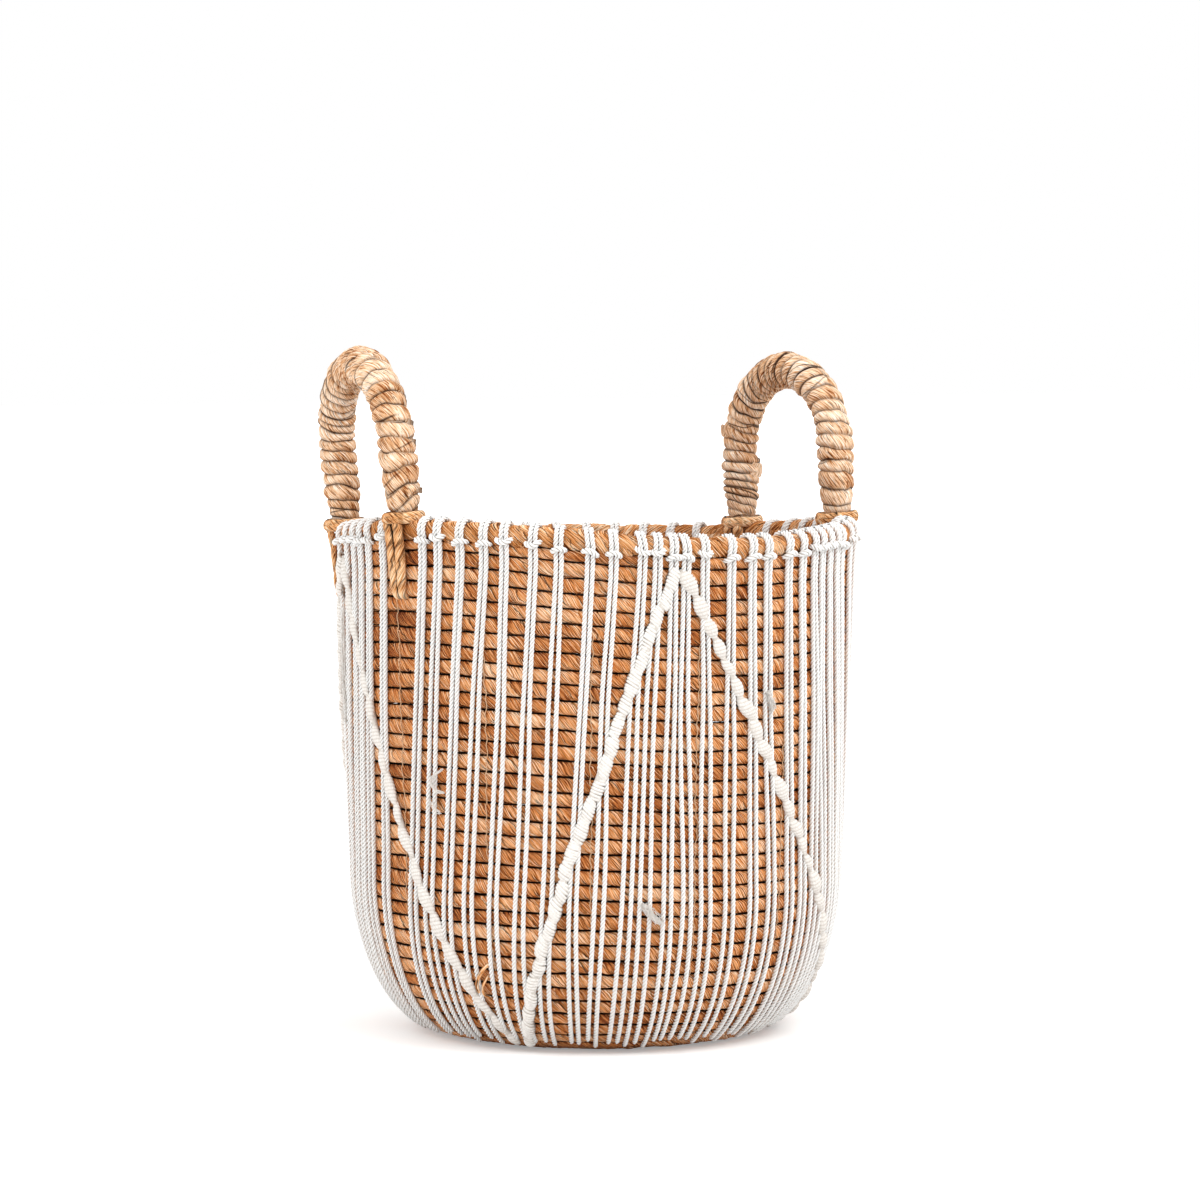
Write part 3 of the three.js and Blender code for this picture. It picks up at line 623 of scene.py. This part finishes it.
sewing = Piece("sewing_thread")
for column in range(15):
    column_angle = show_side + math.radians(-25 + column * 24)
    rows = np.arange(corner_turns - 6, int(last_turn) + 1)
    offset = (seam_angle - column_angle) / math.tau % 1
    seams = (rows + offset - 0.5) * row_pitch
    seams = seams[seams < wall_end - 2]
    length = np.concatenate([np.linspace(a, b, 9)[:-1] for a, b in zip(seams, seams[1:])])
    part = np.tile(np.arange(8) / 8, len(seams) - 1)
    out = 4.0 + 0.75 * np.sin(math.pi * part) ** 0.6
    sway = 0.9 * Uneven(43 + column, 14).at(length) + 0.45 * np.sin(math.tau * part)
    points = at_wall(column_angle + sway / mouth_radius, length, out)
    sewing.add(round_tube(points, spokes(column_angle), 0.62, 5), tube_spread(points, 5, 2.0), flip=True)
thread_finish, tree, skin = surface("sewing_thread", 0.7)
tree.links.new(ramp(tree, streaks(tree, 1.2, 0.8, 0.6), [(0.3, "B98A62"), (0.7, "E2C3A0")]),
               skin.inputs["Base Color"])
sewing.make(thread_finish, "basket", "leaf_strip")

# The handles: a bent cane core, bound from foot to foot with a flat strip of pale leaf in
# some thirty close turns. The strip laps over its own edge, and closes over the round feet.
handle_straight = 35.0
foot_reach = 8.3
joints = {j["name"]: j for j in frame["record"]["behaviour"]["joints"]}
cane, tree, skin = surface("bent_cane", 0.6)
tree.links.new(ramp(tree, shader(tree, "TexNoise", Scale=180.0).outputs["Fac"],
                    [(0.3, "6E4A2A"), (0.7, "9A7148")]), skin.inputs["Base Color"])
pale_leaf = leaf_finish("pale_leaf", [(0.0, "7A3C14"), (0.18, "B87C4A"), (0.36, "DFAE82"), (0.56, "F0CBA8"),
                                      (0.8, "FAE2C9"), (1.0, "FEF1E4")], "240A02", turn=0.95, contrast=0.75)
tie_leaf = leaf_finish("tie_leaf", [(0.0, "7A4018"), (0.18, "BC7A42"), (0.38, "E0A36C"), (0.6, "EFBE8C"),
                                    (0.8, "F8D6AE"), (1.0, "FDE8CC")], "120401", turn=0.95, contrast=0.8)


def handle_place(side, lean, middle_angle):
    """The hinge middle of a handle and the directions along its hinge, across it and up it."""
    joint = joints[f"{side}_handle_tilt"]
    hinge = np.array(joint["axis"]) / np.linalg.norm(joint["axis"])
    outward = spokes(math.radians(middle_angle))
    outward = unit(outward - hinge * (outward @ hinge))
    upright = np.cross(outward, hinge)
    rise = upright * math.cos(math.radians(lean)) + outward * math.sin(math.radians(lean))
    return np.array(joint["pos_m"]) / mm, hinge, np.cross(rise, hinge), rise


def on_handle(place, along, way, size):
    """Points round a handle's bent line: how far along it, how far round, how far from its middle."""
    origin, hinge, deep, rise = place
    bend = handle_span / math.sqrt(1 - hinge[2] ** 2) / 2
    turn = np.clip((along - handle_straight) / bend, 0, math.pi)
    over = (along - handle_straight) / bend - turn
    out_x, out_z = -np.cos(turn), np.sin(turn)
    point_x = out_x * bend + np.sin(turn) * over * bend + size * np.cos(way) * out_x
    point_z = out_z * bend + handle_straight + np.cos(turn) * over * bend + size * np.cos(way) * out_z
    return (origin + point_x[..., None] * hinge + (size * np.sin(way))[..., None] * deep
            + point_z[..., None] * rise)


def bind_handle(side, place, front_first, seed):
    """The strip from one round foot to the other: its laps, their folds, edges and colours, with painted
    shade in the seams between laps and along the folds.
    """
    whole = 2 * handle_straight + math.pi * handle_span / math.sqrt(1 - place[1][2] ** 2) / 2
    along = np.linspace(-foot_reach, whole + foot_reach, 620)[:, None]
    way = np.linspace(0, math.tau, 73)
    from_front = along / whole if front_first else 1 - along / whole
    pitch = np.interp(from_front, [0, 0.3, 0.55, 1], [9.2, 8.4, 7.2, 6.2])[:, 0]
    pitch = pitch * (1 + 0.26 * Uneven(seed + 9, 12).at(along[:, 0]))
    laps = np.concatenate([[0], np.cumsum(np.diff(along[:, 0]) / (pitch[1:] + pitch[:-1]) * 2)])[:, None]
    slant = 0.2 * Uneven(seed + 10, 9).at(along)
    to_front = held(1 - from_front * whole / 26)
    to_rear = held(1 - (1 - from_front) * whole / 22)
    strip = laps - way / math.tau + 3 + slant * np.sin(way + along / 17)
    strip = strip + 0.12 * Uneven(seed, 9, 2.1).at(along + 6 * np.cos(way), 4 * np.sin(way))
    strip = strip + ((0.9 if side == "left" else 0.3) * to_front + 0.35 * to_rear) * np.sin(way)
    lap = np.floor(strip)
    part = strip - lap
    wound = lap + way / math.tau
    plump = 1 + 0.34 * Uneven(seed + 1, 0.8).at(wound)
    edge = np.minimum(part, 1 - part) * pitch[:, None]
    fold = (strip + 0.4 + 0.5 * np.sin(way + 3 * Uneven(seed + 7, 2.3).at(wound))) % 1
    folded = held(Uneven(seed + 8, 0.45).at(wound) * 3 - 0.1)
    fold_edge = np.minimum(fold, 1 - fold) * pitch[:, None]
    swell = 2.0 * plump * (1 - np.abs(2 * part - 1) ** 3) + 0.5 * (1 - part)
    swell += 0.55 * folded * (fold - 0.5) * held(fold_edge / 0.5)
    swell += 0.2 * Uneven(seed + 2, 1.6, 0.5).at(along + 6 * np.cos(way), 4 * np.sin(way))
    swell += 0.34 * Uneven(seed + 3, 0.35).at(wound)
    foot = np.minimum(along + foot_reach, whole + foot_reach - along)
    closing = np.sqrt(np.clip(1 - (1 - held(foot / 9)) ** 2, 0.004, 1))
    low = held(1 - (foot - foot_reach) / 12)
    size = (9.2 - 0.8 * low + swell * (1 - 0.45 * held(low * 1.6 - 0.3))) * closing
    pale = 0.5 + 0.16 * Uneven(seed + 4, 0.7).at(wound)
    pale = pale + 0.1 * Uneven(seed + 6, 9, 3).at(along, 4 * np.sin(way)) + 0.12 * (part - 0.5)
    ragged = np.clip(0.75 + 0.6 * Uneven(seed + 5, 0.31).at(wound), 0.25, 1)
    # Painted shade along the folds, in the seams between laps, broken up at random, and softer towards each
    # seam.
    crease_shade = folded * np.clip(1.5 - fold_edge / 0.42, 0, 0.95)
    shade = np.maximum(held(1.5 - edge / 0.62) * ragged, crease_shade)
    shade = np.maximum(shade, 0.3 * held(1 - edge / 2.0))
    spread = together(along + 1.6 * Uneven(seed + 11, 0.6).at(wound) * way, way * 11)
    made = Piece(f"handle_wrap_{side}")
    made.add(on_handle(place, along, way, size)[:, :-1], spread, together(strip, pale, shade))
    made.make(pale_leaf, f"{side}_handle", "leaf_strip", f"handle_binding_{side}")
    core = frame["nodes"][f"handle_core_{side}"].data.materials
    core.clear()
    core.append(cane)


def strip_end(side, place, number, at, way_from, way_to, lift, wide, tip_darkening):
    """The loose end of a strip: lies on its lap, then curls away from it."""
    share = np.linspace(0, 1, 26)
    way = way_from + (way_to - way_from) * share
    size = 10.6 + lift * share ** 2.2
    points = on_handle(place, at + 1.2 * np.sin(2.4 * share), way, size)
    middle = on_handle(place, at + 0 * share, way, 0 * share)
    turn = np.linspace(0, math.tau, 17)
    narrow = (held(0.35 + 4 * share) * held(0.3 + 2.5 * (1 - share)))[:, None]
    cup = 0.9 * share[:, None] * narrow * np.cos(turn) ** 2
    rings = rings_about(points, points - middle, 0.3 * np.sin(turn) + cup, wide / 2 * narrow * np.cos(turn))
    run = share[:, None] * abs(way_to - way_from) * 11
    # The last mark makes the colour darker towards the curled tip.
    marks = together(run / 40 + 0.2 + number, 0.45, tip_darkening * held(0.5 + share)[:, None])
    made = Piece(f"strip_end_{side}_{number}").add(rings[:, :-1], together(turn * wide / 3, run), marks)
    made.make(pale_leaf, f"{side}_handle", "leaf_strip")


right_place = handle_place("right", 0.5, handle_middles["right"])
left_place = handle_place("left", 5.0, handle_middles["left"])
bind_handle("right", right_place, True, 51)
bind_handle("left", left_place, False, 61)
left_ends = [(170, 0.5, 1.9, 1.7, 3.6, 0.75), (187, 0.4, 1.75, 2.2, 4.5, 0.8),
             (197.5, 0.5, 1.7, 1.8, 4.4, 0.8), (206, 0.6, 1.6, 1.2, 3.0, 0.75),
             (226, 0.5, 1.5, 1.8, 3.6, 0.7), (140, 5.6, 6.9, 1.3, 5.0, 0.2)]
right_ends = [(183, 1.9, 0.7, 3.2, 8.0, 0.1), (208, 3.1, 4.4, 3.6, 9.0, 0.1),
              (202, 3.2, 4.2, 2.0, 4.0, 0.8)]
for side, place, ends in (("left", left_place, left_ends), ("right", right_place, right_ends)):
    for number, values in enumerate(ends, 1):
        strip_end(side, place, number, *values)


# The ties: at each foot two strands of the same pale leaf, twisted tight, go down outside, side
# by side, through a gap four rows below the rim, and up again inside.
leaf_step = 0.6


def tie_line(seam):
    """The middle of a tie across the wall, as lengths up the profile and distances out."""
    rim = rim_thickness / 2 + 2.2
    return [(rim_top + 1.8, 10.7), (rim_top - 0.5, 10.3), (rim_middle + 3.5, rim + 1.5),
            (rim_middle - 3, rim + 0.3), (wall_end - 9, 7.0), (seam + 14, 6.4), (seam + 5, 6.0),
            (seam + 1.2, 5.2), (seam, 3), (seam, -3), (seam + 1.2, -5.4), (seam + 5, -6.4),
            (wall_end - 9, -6.9), (rim_middle - 3, -rim - 0.6), (rim_middle + 3, -rim - 1.5),
            (rim_top - 0.5, -10.4), (rim_top + 1.8, -10.8)]


def smooth_line(points, rounds=3):
    """A line with its corners cut off, again and again, until it is smooth."""
    points = np.asarray(points, float)
    for _ in range(rounds):
        near, far = points[:-1] * 0.75 + points[1:] * 0.25, points[:-1] * 0.25 + points[1:] * 0.75
        cut = np.stack([near, far], axis=1).reshape(-1, points.shape[1])
        points = np.concatenate([points[:1], cut, points[-1:]])
    return points


def read_along(at, run, values):
    """Places or directions that are known along a line, read at other places along it."""
    return together(*(np.interp(at, run, column) for column in values.T))


def even_steps(points, step):
    """The same line with even steps."""
    run = run_of(points)
    return read_along(np.linspace(0, run[-1], max(4, int(run[-1] / step))), run, points)


def tie_strand(index, side, end, foot, lay, letter):
    """One strand at a foot, with its twist; lay says on which side of the foot it lies."""
    offset = (seam_angle - foot) / math.tau % 1
    seam = (math.floor((wall_end - 3.5 * row_pitch) / row_pitch - offset - 0.5) + offset + 0.5) * row_pitch
    line = smooth_line(tie_line(seam))
    height = held((line[:, 0] - seam) / (rim_top - seam))
    points = at_wall(foot + lay * (2.5 + 1.5 * height ** 0.6) / foot_radius, line[:, 0], line[:, 1])
    points = even_steps(points, leaf_step)
    way = np.linspace(0, math.tau, 29)
    along = np.arange(len(points))[:, None] * leaf_step
    ends = np.minimum(along, along[-1] - along)
    level = (points[:, 2:] - points[:, 2].min()) / np.ptp(points[:, 2])
    twist = along / 11.5 - way / math.pi + 0.2 * Uneven(71 + index, 5).at(along) + 40
    part = twist % 1
    groove = (1 - np.abs(2 * part - 1) ** 3) * (1 + 0.3 * Uneven(75 + index, 7).at(along))
    narrow = held(0.62 + 1.5 * level) * held(0.25 + ends / 7)
    wide = (3.5 + 0.3 * groove) * narrow
    thick = (1.75 + 0.6 * groove) * held(0.2 + ends / 5)
    wrinkle = 1 + 0.05 * Uneven(77 + index, 1.3, 0.5).at(along, 3 * np.sin(way))
    rings = rings_about(points, np.cross([0, 0, 1.0], spokes(foot)),
                        wide * wrinkle * np.cos(way), thick * wrinkle * np.sin(way))
    # Painted shade in the groove of each twist, and along the side where the two strands meet.
    shade = held(1.2 - np.minimum(part, 1 - part) * 11.5 / 0.9)
    shade = np.maximum(shade, held((-lay * np.cos(way) - 0.78) / 0.14))
    marks = together(twist, 0.46 + 0.2 * Uneven(81 + index, 6).at(along), shade)
    spread = together(along - way * 2.8 * 0.35, way * 2.8)
    return Piece(f"tie_strand_{side}_{end}_{letter}").add(rings[:, :-1], spread, marks, flip=True)


def collar(tie, side, foot, seed):
    """The band of leaf round the handle's foot, loose enough for the foot to turn in it."""
    joint = joints[f"{side}_handle_tilt"]
    axis, middle = np.array(joint["axis"]), np.array(joint["pos_m"]) / mm
    centre = spokes(foot) * foot_radius
    hinge = middle[2] + axis[2] * (axis[:2] @ (centre[:2] - middle[:2]))
    turn = np.linspace(-3.6, 3.9, 150)
    ends = np.minimum(np.arange(150), np.arange(150)[::-1]) / 16
    radius = 11.0 + 0.25 * Uneven(seed, 1.1).at(turn) + 1.2 * held(1 - ends)
    level = hinge - 7.5 + 0.1 * turn + 0.6 * np.sin(turn) + 0.25 * Uneven(seed + 1, 0.9).at(turn)
    outward = spokes(show_side + turn)
    points = centre + radius[:, None] * outward + level[:, None] * np.array([0, 0, 1.0])
    turn = turn[:, None]
    way = np.linspace(0, math.tau, 33)
    narrow = held(0.3 + ends)[:, None]
    fold = 1 + 0.1 * Uneven(seed + 2, 0.7).at(turn)
    crease = (np.sin(way) * 1.3 + turn * 0.55 + 0.4 * Uneven(seed + 4, 0.8).at(turn)) % 1
    dent = held(1 - np.minimum(crease, 1 - crease) / 0.1)
    rings = rings_about(points, outward, (2.5 - 0.3 * dent) * narrow * np.cos(way),
                        3.7 * narrow * fold * np.sin(way))
    run = turn * 12
    # Painted shade along the band's top and bottom edges and in its creases.
    shade = np.maximum(held((np.abs(np.sin(way)) - 0.93) / 0.05), 0.75 * dent)
    marks = together(run / 31 + seed, 0.5 + 0.2 * Uneven(seed + 3, 8).at(run), shade)
    tie.add(rings[:, :-1], together(run, way * 3), marks)


for index, ((side, end), foot) in enumerate(feet.items()):
    for lay, letter in ((-1, "a"), (1, "b")):
        tie = tie_strand(index, side, end, foot, lay, letter)
        if letter == "a":
            collar(tie, side, foot, 85 + index)
        tie.make(tie_leaf, "basket", "leaf_strip", f"tie_{side}_{end}_{letter}")

# The dress: white cotton cord of three plies. Each cord is doubled, hung over the rim with
# its loop in front and both ends drawn through it, and falls in two strands to the base.
cord_size = 3.0
loop_size = 3.5
strand_spread = 3.0
strand_out = 5.45
knot_drop = 9.0
cord_end_height = 22.0
even_step = 360 / len(knots)
even_start = np.mean([k - i * even_step for i, k in enumerate(knots)])
cord_step = 1.27
lay_turn = 7.8
cord_draw = np.random.default_rng(91)


def knot_at(index):
    """Where a cord hangs, in degrees; the count goes on round the mouth."""
    return knots[index % len(knots)] + index // len(knots) * 360


def strand_angle(index, side, length):
    """Angle of one of a cord's two strands: at its knot above, and spread evenly lower down."""
    top = knot_at(index) + side * math.degrees(strand_spread / 2 / mouth_radius)
    even = even_start + (index + side / 4) * even_step
    fall = held((wall_end - knot_drop - length) / (wall_end - knot_drop - base_end))
    return show_side + np.radians(top + (even - top) * 0.7 * fall)


def add_plies(piece, points, hint, size, wear):
    """A cord of three plies twisted together along a line; wear makes it thinner in places."""
    start = cord_draw.uniform(0, 6)
    ring = np.arange(5) * math.tau / 5
    for ply in range(3):
        turn = start + run_of(points) / lay_turn * math.tau + ply * math.tau / 3
        middle = together(np.cos(turn), np.sin(turn)) * (size * 0.278 * wear)[:, None]
        edge = together(np.cos(ring + ply), np.sin(ring + ply))
        flat = middle[:, None] + edge * (size * 0.252 * wear)[:, None, None]
        rings = rings_about(points, hint, flat[..., 0], flat[..., 1])
        # Painted shade on each ply where it turns in towards the cord's middle, between the plies.
        reach = np.linalg.norm(flat, axis=2) / (size * 0.53 * np.maximum(wear, 0.2))[:, None]
        groove = held((0.86 - reach) / 0.4)
        groove = np.concatenate([groove, groove[:, :1]], axis=1)
        piece.add(rings, tube_spread(points, 5, 5) + ply * 31, together(0, 0.5, groove))


def cotton_finish(name, tones, shadow, across_size, along_size):
    """Undyed cotton: soft short fibres, and beige shade down in its grooves."""
    finish, tree, skin = surface(name, 0.95, sheen=0.15)
    pale, shade = marks_of(tree)[1:3]
    fluff = streaks(tree, across_size, along_size)
    colour = ramp(tree, weighed(tree, pale, (fluff, 1.3)), tones)
    tree.links.new(mix_colours(tree, shade, colour, shadow), skin.inputs["Base Color"])
    raise_fibres(tree, skin, fluff, 0.15)
    skin.inputs["Specular IOR Level"].default_value = 0.2
    return finish


cotton = cotton_finish("cotton_cord", [(0.1, "E8E9E7"), (0.45, "F6F7F7"), (0.8, "FDFEFE")],
                       "CFC8BF", 0.6, 1.6)


def hang_cord(piece, index):
    """One doubled cord: over the rim, behind its loop, and down in two strands."""
    knot = math.radians(knot_at(index)) + show_side
    tilt = cord_draw.uniform(-0.8, 0.8)
    lift = cord_draw.uniform(-0.6, 0.6)
    round_rim = rim_thickness / 2 * 0.92 + 1.5
    for side in (-1, 1):
        loop = np.radians(np.linspace(215, -28, 12))
        length = rim_middle + round_rim * np.sin(loop)
        out = round_rim * np.cos(loop)
        near = side * 1.45 + tilt * (length - rim_middle) / 6
        over = together(knot + near / mouth_radius, length, out)
        end = base_end + cord_end_height + cord_draw.uniform(-6, 4)
        down = np.concatenate([[wall_end - 4.5 + lift], np.linspace(wall_end - 14, end, 26)])
        drift, own = Uneven(101 + index * 3, 110), Uneven(102 + index * 3 + (side > 0), 70)
        sway = 1.5 * (drift.at(down) - drift.at(wall_end - 10))
        sway = sway + 0.6 * (own.at(down) - own.at(wall_end - 10))
        sway = sway * held((wall_end - down) / 90)
        angle = strand_angle(index, side, down) + sway / mouth_radius
        angle[0] = knot + side * 1.6 / mouth_radius
        strand = together(angle, down, strand_out)
        strand[0, 2] = 5.9
        line = np.concatenate([over, strand])
        line[:, 0] *= mouth_radius
        line = even_steps(smooth_line(line, 2), cord_step)
        line[:, 0] /= mouth_radius
        left = np.arange(len(line))[::-1] * cord_step
        wear = 0.35 + 0.65 * held(left / 2.6) ** 0.5
        add_plies(piece, at_wall(*line.T), spokes(line[:, 0]), cord_size, wear)
    bar_height = wall_end + 1.2 + lift
    wide = 4.3 + cord_draw.uniform(-0.4, 0.6)
    bow = np.linspace(-1, 1, 13)
    bar_angle = knot + wide * bow / mouth_radius
    bar_out = 7.0 + 1.8 * (1 - bow ** 2) ** 0.5 - 2.6 * bow ** 4
    bar_length = bar_height + 2.0 * bow ** 2 * np.sign(lift) + tilt * 1.6 * bow
    points = even_steps(at_wall(bar_angle, bar_length, bar_out), 0.7)
    from_middle = np.abs(np.linspace(-1, 1, len(points)))
    add_plies(piece, points, spokes(knot), loop_size, 1 - 0.45 * from_middle ** 4)


bar_top_drop, bar_end_height = 16.0, 30.0
bar_width = 8.0
bar_bows = [0.05, 0, 0.06, 0.02, 0, 0.03, 0, 0.04]
bar_top, bar_foot = wall_end - bar_top_drop, base_end + bar_end_height


def panel_edge(index, length):
    """The angle half way between the strands of two neighbouring cords."""
    return (strand_angle(index - 1, 1, length) + strand_angle(index, -1, length)) / 2


panels = []
for panel, start in enumerate(bar_turns):
    until = bar_turns[panel + 1] if panel + 1 < len(bar_turns) else bar_turns[0] + 360
    first, after = sum(k <= start for k in knots), sum(k < until for k in knots)
    panels.append((first, after))
    cords = Piece(f"cords_{panel + 1}")
    for index in range(first, after):
        hang_cord(cords, index)
    cords.make(cotton, "basket", "cotton", f"macrame_panel_{panel + 1}")


# The knotted bars: cotton cord knotted over and over round the strands on a slant, in a zigzag
# from the mouth to the base and back. One leg has narrow ribs, its neighbours long soft loops.
def bar_line(panel, share):
    """Places along a bar from its top, as angle and length up the profile."""
    high, low = panels[panel] if panel % 2 == 0 else panels[panel][::-1]
    inset = 0.75 * bar_width * (-1) ** panel
    top = panel_edge(high, bar_top) + inset / wall_profile(bar_top)[0]
    foot = panel_edge(low, bar_foot) - inset / wall_profile(bar_foot)[0]
    angle = top + (foot - top) * (share - bar_bows[panel] * np.sin(math.pi * held(share)))
    return angle, bar_top + (bar_foot - bar_top) * share


def bar_frame(panel):
    """The line of a bar over the wall, the ways out from it, and how far along it they are."""
    angle, length = bar_line(panel, np.linspace(-0.033, 1.03, 600))
    points = at_wall(angle, length, 0)
    return points, at_wall(angle, length, 1) - points, run_of(points)


def along_bar(line, at):
    """Places along a bar, with the directions out from the wall and across the bar."""
    points, outs, run = line
    out = unit(read_along(at, run, outs))
    way = unit(read_along(at + 1, run, points) - read_along(at - 1, run, points))
    return read_along(at, run, points), out, np.cross(out, way)


def bar_core(piece, line, out_from_wall, size, shade):
    """The straight cords inside a bar, which the others are knotted round."""
    place, out, _ = along_bar(line, np.linspace(0.8, line[2][-1] - 0.8, 220))
    points = place + out * out_from_wall
    # The core gets a low pale mark and painted shade, as it lies in the shade of the knots.
    piece.add(round_tube(points, out, size, 8), tube_spread(points, 8, 15), (0, 0.3, shade))


def ribbed_bar(piece, panel, seed):
    """Knots of cord wound close across a core, one for each strand that they tie."""
    line = bar_frame(panel)
    whole = line[2][-1]
    draw = np.random.default_rng(seed)
    at, knot_end = 1.0, 0.0
    turn = np.linspace(-1.95, 1.95, 12)
    while at < whole - 1:
        if at >= knot_end:
            knot_start, knot_long = at, draw.uniform(9, 15)
            knot_end = at + knot_long
            plump, aside, lean = draw.uniform(0.88, 1.15), draw.uniform(-1.1, 1.1), draw.uniform(-0.1, 0.6)
        swell = plump * (0.78 + 0.3 * math.sin(math.pi * (at - knot_start) / knot_long))
        half = (bar_width / 2 - 0.9) * swell
        slant = half * np.sin(turn) * (lean + draw.uniform(-0.1, 0.1))
        place, out, side = along_bar(line, at + slant)
        points = (place + side * (half * np.sin(turn) + aside)[:, None]
                  + out * (5.2 + 2.7 * swell * np.cos(turn))[:, None])
        thick = 2.3 * draw.uniform(0.8, 1.15) * (0.75 + 0.25 * np.cos(turn * 0.75))
        rings = round_tube(points, out, thick, 9)
        # Painted shade on the inner side of each wrap, towards the core and between wraps.
        shade = held(0.9 - 1.1 * held(np.cos(np.arange(10) / 9 * math.tau)))
        spread = tube_spread(points, 9, 8) + draw.uniform(0, 900)
        piece.add(rings, spread, together(0, 0.5, shade), flip=True)
        at += draw.uniform(1.5, 2.2)
    bar_core(piece, line, 5.7, 5.0, 0.3)


def looped_bar(piece, panel, seed):
    """Long soft loops of loose cotton, pointed at both ends and laid one after another."""
    line = bar_frame(panel)
    whole = line[2][-1]
    draw = np.random.default_rng(seed)
    shortest, longest, fullness = (17, 25, 0.37) if panel == 0 else (14, 22, 0.47)
    turn = np.linspace(0, math.tau, 29)
    part = np.linspace(0, 1, 64)[:, None]
    at, flip_side = 0.0, 1
    while at < whole - 4:
        length = min(draw.uniform(shortest, longest), whole - at + 2)
        wide = max(length * fullness * draw.uniform(0.88, 1.12), 6.0)
        body = np.maximum(np.sin(math.pi * part ** draw.uniform(0.8, 1.15)) ** 0.72, 0.07)
        place, out, side = along_bar(line, np.clip(at + part[:, 0] * length, 0.2, whole - 0.2))
        sway = (part - 0.5) * length * flip_side * draw.uniform(0.02, 0.2)
        lift = 5.0 + 1.2 * part + 0.8 * np.sin(math.pi * part)
        centre = place + side * sway + out * lift
        ridges = np.sin(part * length / 2.3 * math.tau + 2 * turn + draw.uniform(0, 6))
        fibre = 1 + (0.045 + 0.03 * Uneven(seed + 3, 2).at(at + part * length + turn)) * ridges
        rings = (centre[:, None] + side[:, None] * (body * wide / 2 * np.cos(turn) * fibre)[..., None]
                 + out[:, None] * (body * wide * 0.31 * np.sin(turn) * fibre)[..., None])
        # Painted shade in the valleys between ridges and at the thin pointed ends.
        shade = np.clip(-ridges * 0.5, 0, 0.4) + np.clip(0.35 - body, 0, 0.3)
        spread = together(turn * wide / 2, part * length) + draw.uniform(0, 900)
        piece.add(rings[:, :-1], spread, together(0, 0.35, shade), flip=True)
        at += length * draw.uniform(0.76, 0.9)
        flip_side = -flip_side
    bar_core(piece, line, 5.3, 3.4, 0.4)


loose_cotton = cotton_finish("loose_cotton", [(0.1, "D5CFC8"), (0.45, "ECE8E3"), (0.8, "FBFAF8")],
                             "B4A99C", 0.8, 2.2)
for panel in range(len(bar_turns)):
    bar = Piece(f"knotted_bar_{panel + 1}")
    wind = ribbed_bar if panel % 2 else looped_bar
    wind(bar, panel, 201 + panel)
    bar.make(loose_cotton, "basket", "cotton", f"macrame_panel_{panel + 1}")


# Loose trim that handwork leaves: frayed cotton caught between the cords, a thread end in loops,
# fine fibres at one side, and two curled ends of leaf. Each starts from the rope that holds it.
def near_wall(places):
    """Points over the wall, and the ways out from it, along a line through the places."""
    turn, length, out = smooth_line(places).T
    angle = show_side + np.radians(turn)
    return at_wall(angle, length, out), spokes(angle)


def loose_fibres(number, count, apart, size, places):
    """Fibres that follow a line loosely, each from and back to the surface."""
    draw = np.random.default_rng(300 + number)
    middle, outward = near_wall(places)
    at = np.linspace(0, 1, len(middle))
    made = Piece(f"frayed_cotton_{number}")
    for fibre in range(count):
        start, end = sorted(draw.uniform(0, 1, 2))
        share = np.linspace(start, min(1.0, end + 0.25), 16)
        line, hint = read_along(share, at, middle), read_along(share, at, outward)
        arch = np.sin(math.pi * np.linspace(0.03, 0.97, 16)) ** 0.5
        for step in range(3):
            curl = Uneven((300 + number) * 7 + fibre * 3 + step, draw.uniform(2, 5))
            line[:, step] += apart * arch * curl.at(np.arange(16))
        line -= hint * ((1 - arch) * draw.uniform(1, 3))[:, None]
        made.add(round_tube(line, hint, size * draw.uniform(0.6, 1.2), 4), tube_spread(line, 4, 2),
                 (0, 0.5, draw.uniform(0, 0.25)))
    made.make(loose_cotton, "basket", "cotton")


loose_fibres(1, 16, 1.3, 0.36, [(-35.7, 280.3, 8), (-37.9, 276.5, 8.6), (-38.6, 271.7, 9),
                                (-37.8, 266.7, 8.6), (-35.6, 266.3, 8)])
loose_fibres(2, 12, 1.3, 0.36, [(-39.8, 263.4, 8), (-38.7, 258.8, 9), (-36.8, 254.0, 8)])
loose_fibres(3, 44, 2.8, 0.36, [(10.0, 207, 7.6), (12.0, 201.5, 9), (14.8, 195.5, 8)])
loose_fibres(4, 34, 2.2, 0.36, [(40.0, 332, 8), (41.0, 326, 9), (41.8, 320, 8)])
loose_fibres(5, 36, 2.4, 0.35, [(-74.5, 380, 7), (-76.5, 342, 8), (-77.5, 303, 7)])


def leaf_curl(name, wide, seed, places):
    """A leaf end that has sprung loose and curls."""
    points, outward = near_wall(places)
    points = even_steps(points, leaf_step)
    share = np.linspace(0, 1, len(points))[:, None]
    turn = np.linspace(0, math.tau, 15)
    half = wide / 2 * np.clip(0.25 + 2.5 * np.sin(math.pi * share), 0.2, 1)
    rings = rings_about(points, outward[len(outward) // 2], 0.28 * np.sin(turn) + 0.5 * np.cos(turn) ** 2,
                        half * np.cos(turn))
    run = share * len(points) * leaf_step
    marks = together(run / 60 + seed, 0.62, 0.3 * (np.abs(np.cos(turn)) > 0.9))
    made = Piece(name).add(rings[:, :-1], together(turn * wide / 3, run), marks)
    made.make(rim_finish, "basket", "leaf_rope")


leaf_curl("leaf_end_1", 2.4, 3, [(-26.0, 168.0, 5), (-27.6, 164.5, 8), (-29.7, 156.5, 9),
                                 (-30.2, 148.0, 6.0)])
leaf_curl("leaf_end_2", 1.8, 5, [(-26.8, 160.5, 5), (-28.0, 155.3, 9), (-28.4, 149.7, 9),
                                 (-27.2, 146.0, 5.5)])
